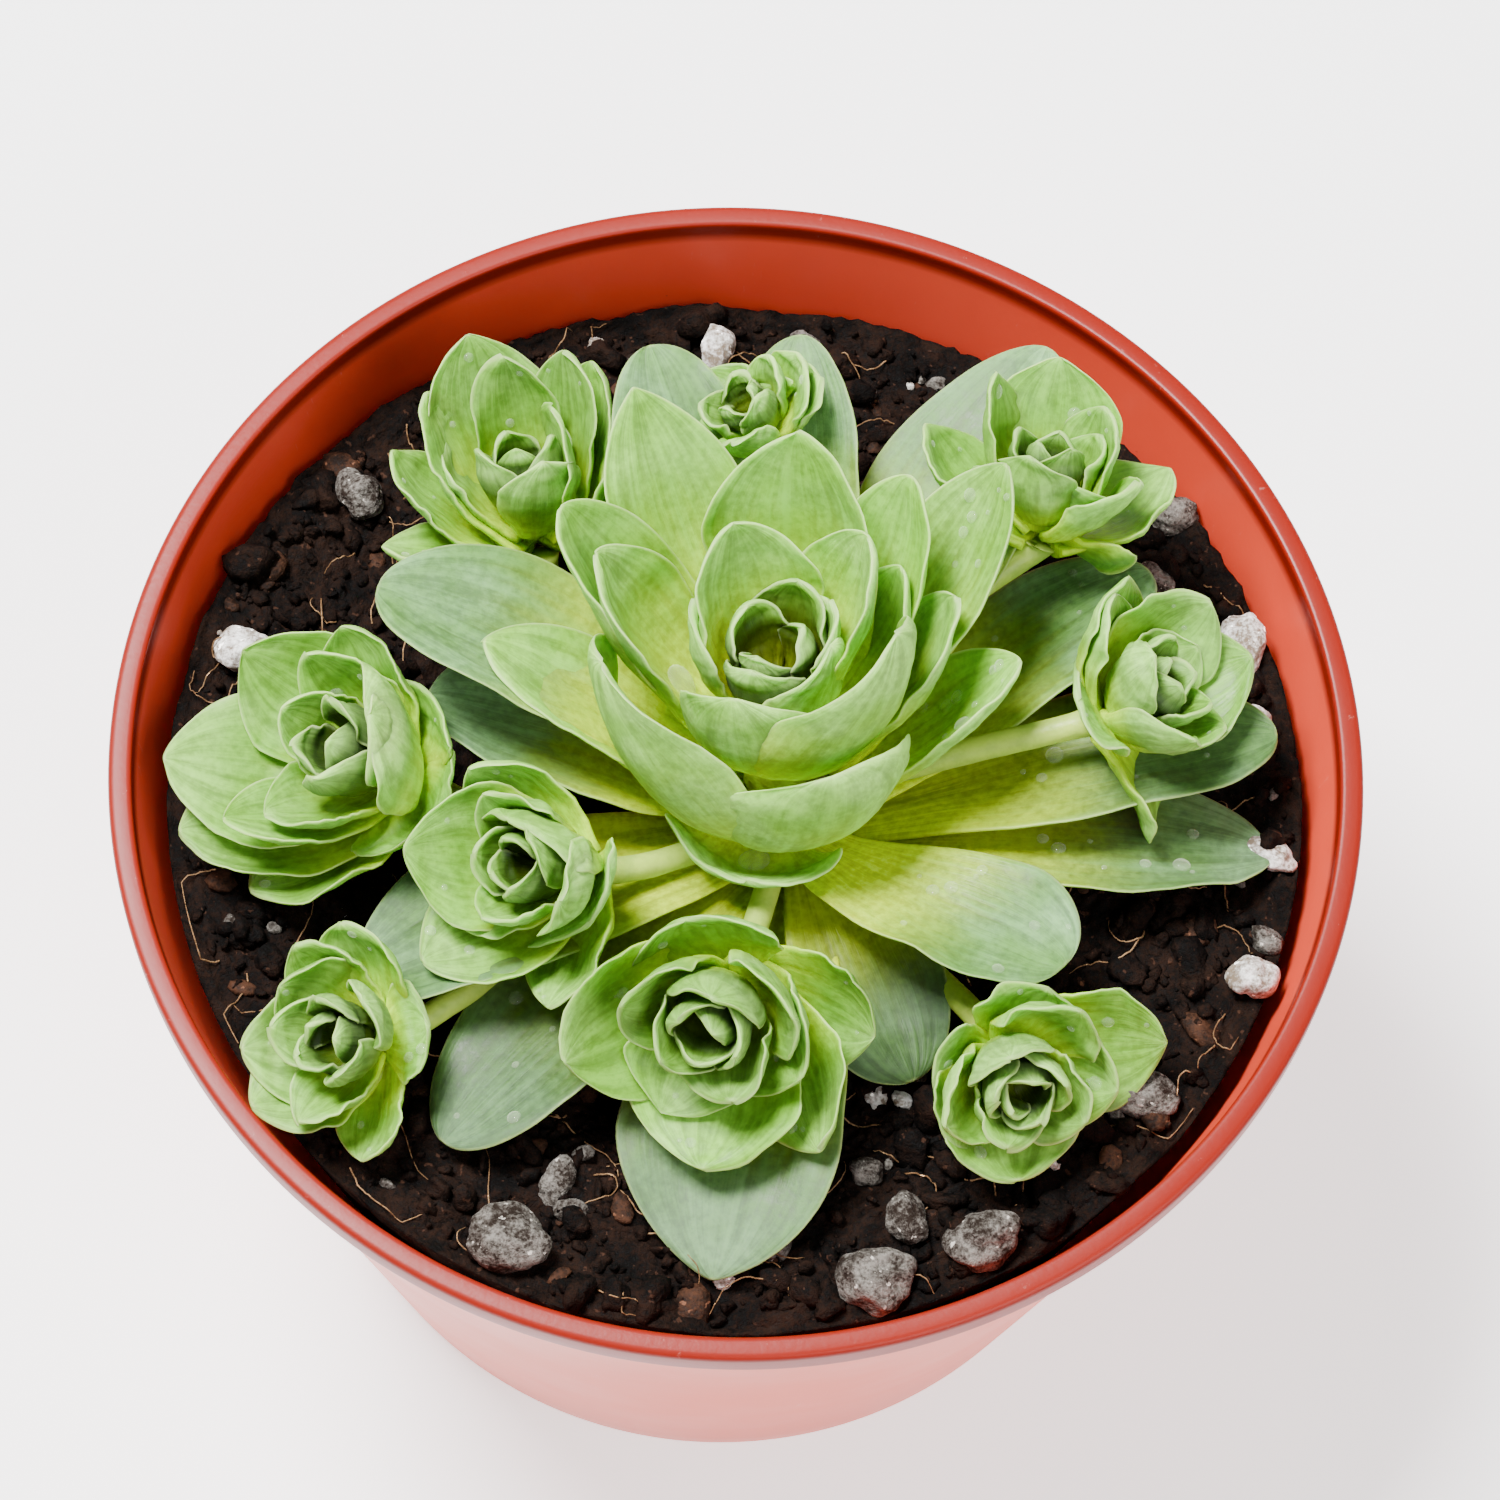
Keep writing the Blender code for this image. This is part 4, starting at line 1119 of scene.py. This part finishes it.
def make_pot():
    """The profile turned round the axis, drilled, and marked with the three numbers that its plastic
    reads."""
    angle = full_turn(POT_AROUND)
    radius, height = profile[:, 0][:, None], profile[:, 1][:, None]
    grid = np.stack([radius * np.cos(angle), radius * np.sin(angle), height + angle * 0], axis=-1)
    pot = build_mesh("pot_shell", *closed_grids([grid]), {}, pot_plastic)
    drill_holes(pot)
    points = np.zeros(len(pot.data.vertices) * 3)
    pot.data.vertices.foreach_get("co", points)
    points = points.reshape(-1, 3) / MM
    reach = np.hypot(points[:, 0], points[:, 1])
    # Painted light: outside marks the outer wall, whose colour is painted paler.
    outside = (reach > wall_radius(points[:, 2]) - 0.4) & (points[:, 2] < POT_HEIGHT - LIP_HEIGHT - 0.3)
    dirt = ramp(-points[:, 2], -66.0, -60.0) * (1 - outside)
    # Painted shade: lip marks the rim's top and outer edge, whose colour is painted darker.
    lip = (points[:, 2] > POT_HEIGHT - LIP_HEIGHT - 0.2) & (reach > RIM_RADIUS - LIP_WIDTH - 0.1) & ~outside
    for key, values in (("outside", outside), ("dirt", dirt), ("lip", lip)):
        layer = pot.data.attributes.new(key, "FLOAT", "POINT")
        layer.data.foreach_set("value", values.astype(np.float32))
    pot.data.shade_smooth()
    pot.data.set_sharp_from_angle(angle=math.radians(SHARP_EDGE))
    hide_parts("pot")
    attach(pot, "root")
    return pot


pot = make_pot()
print("pot:", len(pot.data.polygons), "faces")

# %% [markdown]
# ## The soil mix
# Dark peat, opened with bits of bark, pumice, perlite and coir fibre. One height surface gives the bed
# its lumps. The crumbs, chips, grains and fibres that lie on it are small closed meshes of their own,
# because a bump map goes flat at the low angles where the soil meets the pot.

# %% The bed's height
SOIL_TOP = 58.6
SOIL_SLOPE = -0.03
SOIL_DISH_X = 0.0031
SOIL_DISH_Y = 0.0020
SOIL_RADIUS = wall_radius(SOIL_TOP) - WALL - 0.25


def soil_height(x, y):
    """A dish that rises to the side walls, with lumps about 18, 7, 3 and 1 mm across, lower as they get
    finer."""
    dish = SOIL_TOP + SOIL_SLOPE * y + SOIL_DISH_X * x * x + SOIL_DISH_Y * y * y
    lumps = 0.75 * ripple(x / 18, y / 18, 11, 2) + 0.55 * np.abs(ripple(x / 7, y / 7, 12, 2))
    return dish + lumps + 0.5 * np.abs(ripple(x / 2.8, y / 2.8, 13, 2)) + 0.3 * ripple(x / 1.1, y / 1.1, 14, 2)


print("soil height at the middle:", round(float(soil_height(np.array(0.0), np.array(0.0))), 2))

# %% [markdown]
# Peat, bark, pumice, perlite and coir differ in their two colours and in how coarse they are, so one
# recipe makes all five.

# %% Soil materials
def make_earth(name, dark, light, scale, rough=0.95, bump_size=0.0004):
    """Earthy matter in two colours that mix in patches and grains, with a rough surface."""
    material, tree, shader = new_material(name)
    place = object_place(tree)
    patch = noise(tree, place, scale, 5.0, 0.7)
    fine = noise(tree, place, scale * 7, 3.0, 0.7)
    mixed = maths(tree, "ADD", maths(tree, "MULTIPLY", patch, 0.6), maths(tree, "MULTIPLY", fine, 0.4))
    colour = blend(tree, smooth(tree, mixed, 0.4, 0.64), (*dark, 1.0), (*light, 1.0))
    grit = smooth(tree, noise(tree, place, 1300.0, 2.0, 0.5), 0.66, 0.72, 0.0, 0.6)
    colour = blend(tree, grit, colour, (*[4.0 * value for value in light], 1.0))
    tree.links.new(colour, shader.inputs["Base Color"])
    tree.links.new(smooth(tree, fine, 0.3, 0.7, rough - 0.3, rough), shader.inputs["Roughness"])
    emboss(tree, shader, mixed, 0.8, bump_size)
    shader.inputs["Specular IOR Level"].default_value = 0.08
    return material


peat = make_earth("peat", (0.0008, 0.0005, 0.0004), (0.013, 0.0058, 0.0034), 330.0, 0.95, 0.0008)
bark = make_earth("bark_chip", (0.008, 0.004, 0.0025), (0.050, 0.021, 0.011), 420.0, 0.8)
pumice = make_earth("pumice_stone", (0.014, 0.009, 0.0065), (0.19, 0.175, 0.155), 420.0, 0.95, 0.0008)
perlite = make_earth("perlite_stone", (0.16, 0.12, 0.085), (0.88, 0.87, 0.84), 380.0, 0.9)
coir = make_earth("coir_fibre", (0.10, 0.05, 0.022), (0.30, 0.18, 0.09), 300.0, 0.7)
print("earth materials:", peat.name, bark.name, pumice.name, perlite.name, coir.name)

# %% [markdown]
# The bed is one closed body, so that nothing shows through from a low angle: its lumpy top, and a plain
# side that follows the pot's wall down to the floor.

# %% The soil bed
SOIL_RINGS = 170
SOIL_AROUND = 400


def make_soil():
    """Rings of the height surface, from the pot's wall to the middle, above rings down the side to the
    floor."""
    reach = SOIL_RADIUS * np.linspace(1.0, 0.004, SOIL_RINGS)[:, None]
    angle = full_turn(SOIL_AROUND)[None, :]
    x, y = reach * np.cos(angle), reach * np.sin(angle)
    top = np.stack([x, y, soil_height(x, y)], axis=-1)
    floor = FLOOR_RISE + FLOOR + 0.3
    depth = np.array([0.0, 0.33, 0.66, 1.0])[:, None]
    side_radius = wall_radius(floor) - WALL - 1.0 + (SOIL_RADIUS - wall_radius(floor) + WALL + 1.0) * depth
    side_height = floor + (top[0, :, 2][None, :] - floor) * depth
    side = np.stack([side_radius * np.cos(angle), side_radius * np.sin(angle), side_height], axis=-1)[:-1]
    soil = build_mesh("soil_bed", *closed_grids([np.concatenate([side, top])]), {}, peat)
    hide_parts("soil")
    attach(soil, "root")
    return soil


soil = make_soil()
print("soil:", len(soil.data.polygons), "faces")

# %% [markdown]
# Crumbs and stones share one shape: a ball of rings whose radius is pushed in and out by a random smooth
# surface, then squashed and turned. A few dozen faces are enough for a crumb, and a large grain gets
# more.
#
# A litter row holds the piece's name, how many stones it has, its seed, the smallest and the largest half
# length, the flatness, the lift out of the soil, the roughness, the material with its name, and the rings
# and points round each stone.

# %% Crumbs and stones
LITTER_REACH = SOIL_RADIUS - 1.2
LITTER = (
    ("peat_crumbs_fine", 2700, 21, 0.22, 0.85, 0.8, 0.35, 0.45, peat, "soil_mix", 5, 7),
    ("peat_crumbs_coarse", 900, 23, 0.5, 1.9, 0.7, 0.3, 0.45, peat, "soil_mix", 8, 12),
    ("bark_chips", 170, 25, 0.4, 2.0, 0.28, 0.9, 0.22, bark, "bark_chip", 7, 9),
    ("pumice_grit", 80, 27, 0.4, 1.8, 0.75, 0.35, 0.24, pumice, "pumice", 12, 18),
    ("perlite_grit", 40, 29, 0.25, 1.0, 0.8, 0.5, 0.25, perlite, "perlite", 8, 12),
)


def stone_grids(centres, sizes, seed, rings, around, rough):
    """One ring grid per stone: the ball's latitude and longitude give a direction, and waves along three
    random directions of it push the radius. Sizes are half length, half width and half height per
    stone."""
    rng = np.random.default_rng(seed)
    latitude = np.linspace(-1.45, 1.45, rings)[:, None]
    longitude = full_turn(around)[None, :]
    ball = np.stack([np.cos(latitude) * np.cos(longitude), np.cos(latitude) * np.sin(longitude),
                     np.sin(latitude) + longitude * 0], axis=-1)
    grids = []
    for centre, size in zip(centres, sizes):
        push = np.ones(ball.shape[:2])
        for pitch, share in ((2.2, 1.0), (4.1, 0.55), (8.0, 0.3)):
            direction = unit(rng.normal(size=3)) * pitch
            other = unit(rng.normal(size=3)) * pitch
            push += rough * share * np.sin(ball @ direction + rng.uniform(0, 6)) * np.sin(ball @ other)
        turn = rng.uniform(0, math.tau)
        spin = np.array([[math.cos(turn), math.sin(turn), 0], [-math.sin(turn), math.cos(turn), 0], [0, 0, 1]])
        grids.append((ball * push[..., None] * np.asarray(size)) @ spin + centre)
    return grids


def scatter(count, seed):
    """Random places on the bed, as even over its area as chance makes them."""
    rng = np.random.default_rng(seed)
    reach = np.sqrt(rng.uniform(0.0, LITTER_REACH ** 2, count))
    angle = rng.uniform(0, math.tau, count)
    return reach * np.cos(angle), reach * np.sin(angle), rng


def make_litter(name, count, seed, size_low, size_high, flat, lift, rough, material, slot, rings, around):
    """One piece of many stones: small ones are common and large ones rare, and each lies partly sunk."""
    x, y, rng = scatter(count, seed)
    size = size_low + (size_high - size_low) * rng.uniform(0, 1, count) ** 2.5
    width = size * rng.uniform(0.55, 0.9, count)
    half = np.stack([size, width, size * flat * rng.uniform(0.7, 1.2, count)], axis=-1)
    centres = np.stack([x, y, soil_height(x, y) + half[:, 2] * lift], axis=-1)
    grids = stone_grids(centres, half, seed + 1, rings, around, rough)
    litter = build_mesh(name, *closed_grids(grids), {}, material)
    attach(litter, "root")
    return litter


for litter_row in LITTER:
    make_litter(*litter_row)
print("litter:", [row[0] for row in LITTER])

# %% [markdown]
# The large grains lie on top, where they catch the eye, so each has its own place and size: across, to
# the back, half length, half width and half height. Eight of them are solids of their own in the model.
# The smaller ones are joined by kind.

# %% The large grains
GRAINS = (
    (40.0, 7.5, 2.9, 2.2, 1.7, "perlite"),
    (42.0, -14.5, 2.0, 1.6, 1.4, "perlite"),
    (33.5, 20.5, 2.4, 2.0, 1.6, "pumice"),
    (-41.0, 9.0, 2.4, 1.8, 1.5, "perlite"),
    (-33.0, 24.5, 2.2, 1.7, 1.5, "pumice"),
    (13.5, -41.0, 3.0, 2.6, 2.0, "pumice"),
    (-15.5, -39.5, 3.0, 2.5, 1.9, "pumice"),
    (21.5, -37.0, 2.8, 2.2, 1.8, "pumice"),
)
PERLITE_LUMPS = ((41.1, 15.7, 2.6, 1.8, 1.5), (43.4, -3.4, 2.2, 1.7, 1.4), (-3.9, 41.0, 1.9, 1.4, 1.3),
                 (13.0, -24.4, 1.3, 0.9, 0.8), (14.8, -25.0, 0.9, 0.8, 0.7), (26.5, -29.8, 1.0, 0.8, 0.8),
                 (1.6, -41.2, 1.0, 0.7, 0.6))
PUMICE_LUMPS = ((33.6, -24.2, 2.6, 2.0, 1.5), (15.4, -35.4, 2.0, 1.6, 1.2), (35.2, 27.6, 2.2, 1.5, 1.3),
                (12.2, -31.4, 1.3, 1.0, 0.9))


def make_grains():
    """A stone for each large grain, sunk by a fifth of its height and put in the place of its own node."""
    for index, (x, y, length, width, height, kind) in enumerate(GRAINS):
        centre = np.array([x, y, float(soil_height(np.array(x), np.array(y))) + height * 0.6])
        grid = stone_grids([centre], [(length, width, height)], 40 + index, 40, 56, 0.19)
        grain = build_mesh(f"{kind}_grain_{index + 1:02d}_stone", *closed_grids(grid), {},
                           perlite if kind == "perlite" else pumice)
        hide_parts(f"{kind}_grain_{index + 1:02d}")
        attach(grain, "root")


def make_lumps(name, rows, seed, material):
    """Smaller lumps that stand where they catch the eye, all in one piece."""
    centres = [np.array([x, y, float(soil_height(np.array(x), np.array(y))) + height * 0.5])
               for x, y, _, _, height in rows]
    grids = stone_grids(centres, [row[2:] for row in rows], seed, 26, 36, 0.2)
    lumps = build_mesh(name, *closed_grids(grids), {}, material)
    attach(lumps, "root")


make_grains()
make_lumps("perlite_lumps", PERLITE_LUMPS, 91, perlite)
make_lumps("pumice_lumps", PUMICE_LUMPS, 93, pumice)
print("grains:", len(GRAINS), "smaller lumps:", len(PERLITE_LUMPS) + len(PUMICE_LUMPS))

# %% [markdown]
# Coir fibres are stiff, thin and springy. Each is a tube round a path that starts on the soil and keeps
# turning at its own slow rate.

# %% Coir fibres
FIBRE_COUNT = 190
FIBRE_STEPS = 26
FIBRE_AROUND = 6
FIBRE_ROOT = 0.075
FIBRE_TIP = 0.035


def fibre_path(start, heading, climb, bend, length, rng):
    """Points along a fibre: the heading turns at a rate that itself wanders, and the height arches and
    comes down."""
    share = np.linspace(0.0, 1.0, FIBRE_STEPS)
    turning = heading + bend * share + 0.5 * np.sin(share * rng.uniform(3, 8) + rng.uniform(0, 6))
    step = length / (len(share) - 1)
    x = start[0] + np.cumsum(np.cos(turning)) * step
    y = start[1] + np.cumsum(np.sin(turning)) * step
    reach = np.hypot(x, y)
    squeeze = np.minimum(1.0, (SOIL_RADIUS - 0.6) / np.maximum(reach, 1.0))
    x, y = x * squeeze, y * squeeze
    return np.stack([x, y, soil_height(x, y) + 0.15 + climb * np.sin(share * math.pi)], axis=-1)


def make_fibres():
    """Thin tapering tubes from random places, with random headings, arches, bends and lengths."""
    rng = np.random.default_rng(51)
    grids = []
    for _ in range(FIBRE_COUNT):
        reach, angle = SOIL_RADIUS * rng.uniform(0.5, 0.97), rng.uniform(0, math.tau)
        start = (reach * math.cos(angle), reach * math.sin(angle))
        path = fibre_path(start, rng.uniform(0, math.tau), rng.uniform(0.1, 1.6), rng.normal() * 1.5,
                          rng.uniform(3, 10), rng)
        grids.append(tube_grid(path, np.linspace(FIBRE_ROOT, FIBRE_TIP, len(path)), FIBRE_AROUND))
    fibres = build_mesh("coir_fibres", *closed_grids(grids), {}, coir)
    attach(fibres, "root")
    return fibres


fibres = make_fibres()
print("fibres:", len(fibres.data.polygons), "faces")

# %% [markdown]
# ## Water
# The plant has just been watered. Drops sit on the wax as low domes, and larger ones lie where a leaf is
# hollow. A drop is a ball pressed flat along the skin's normal, so it is placed by a leaf's own rows: a
# share along the leaf and a place across it give the point, and its neighbours give the normal.

# %% Water drops
WET_LEAVES = ("lower_leaf_02", "lower_leaf_05", "lower_leaf_07", "lower_leaf_03", "lower_leaf_08", "cup_leaf_04",
              "cup_leaf_02", "cup_leaf_05")
POOLS = (("cup_leaf_01", 0.42, 0.0, 1.3), ("cup_leaf_12", 0.30, 0.1, 1.6), ("cup_leaf_08", 0.35, 0.0, 1.4))
DROP_RINGS = 12
DROP_AROUND = 18
DROPS_ON_LEAF = 9
WET_IN_OFFSET = 7
DROPS_IN_OFFSET = 2
DROP_FLAT = 0.5
POOL_FLAT = 0.3


def drop_grid(points, share, place, size, flat):
    """A flattened ball on a leaf's upper side, at a share along and a place across."""
    rows, around, _ = points.shape
    row = min(max(int(np.searchsorted(row_shares(rows), share)), 2), rows - 4)
    column = round(math.acos(place) / math.tau * around)
    here = points[row, column]
    ahead = unit(points[row + 1, column] - points[row - 1, column])
    normal = unit(np.cross(points[row, column - 1] - points[row, column + 1], ahead))
    if normal @ (here - points[row, around - column]) < 0:
        normal = -normal
    side = np.cross(normal, ahead)
    latitude = np.linspace(-1.5, 1.5, DROP_RINGS)[:, None]
    longitude = full_turn(DROP_AROUND)[None, :]
    level = (np.cos(latitude) * size)[..., None]
    return (here + level * (np.cos(longitude)[..., None] * ahead + np.sin(longitude)[..., None] * side)
            + (np.sin(latitude) * size * flat + size * flat * 0.2)[..., None] * normal)


def make_water():
    """Scatter drops over the wet leaves, most of them small, and lay the pools in their hollows."""
    material, tree, shader = new_material("water_drop")
    # Painted light: the drop's pale colour, most opaque at its rim, stands for light shining through and glancing
    # off the clear water.
    facing = add_node(tree, "ShaderNodeLayerWeight", [("Blend", 0.5)]).outputs["Facing"]
    tree.links.new(smooth(tree, facing, 0.3, 1.0, 0.10, 0.5), shader.inputs["Alpha"])
    shader.inputs["Base Color"].default_value = (0.80, 0.90, 0.66, 1.0)
    shader.inputs["Roughness"].default_value = 0.03
    shader.inputs["IOR"].default_value = 1.33
    shader.inputs["Specular IOR Level"].default_value = 1.0
    rng = np.random.default_rng(77)
    grids = []
    for node in WET_LEAVES:
        for _ in range(DROPS_ON_LEAF):
            size = 0.22 + 0.55 * rng.uniform() ** 3
            share, place = rng.uniform(0.4, 0.93), rng.uniform(-0.75, 0.75)
            grids.append(drop_grid(leaf_grids[node], share, place, size, DROP_FLAT))
    for rosette in offset_grids.values():
        for points in rosette[:WET_IN_OFFSET]:
            for _ in range(DROPS_IN_OFFSET):
                size = 0.18 + 0.45 * rng.uniform() ** 2.5
                share, place = rng.uniform(0.5, 0.92), rng.uniform(-0.7, 0.7)
                grids.append(drop_grid(points, share, place, size, DROP_FLAT))
    for node, share, place, size in POOLS:
        grids.append(drop_grid(leaf_grids[node], share, place, size, POOL_FLAT))
    drops = build_mesh("water_drops", *closed_grids(grids), {}, material)
    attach(drops, "root")
    return drops


drops = make_water()
print("drops:", len(drops.data.polygons), "faces")
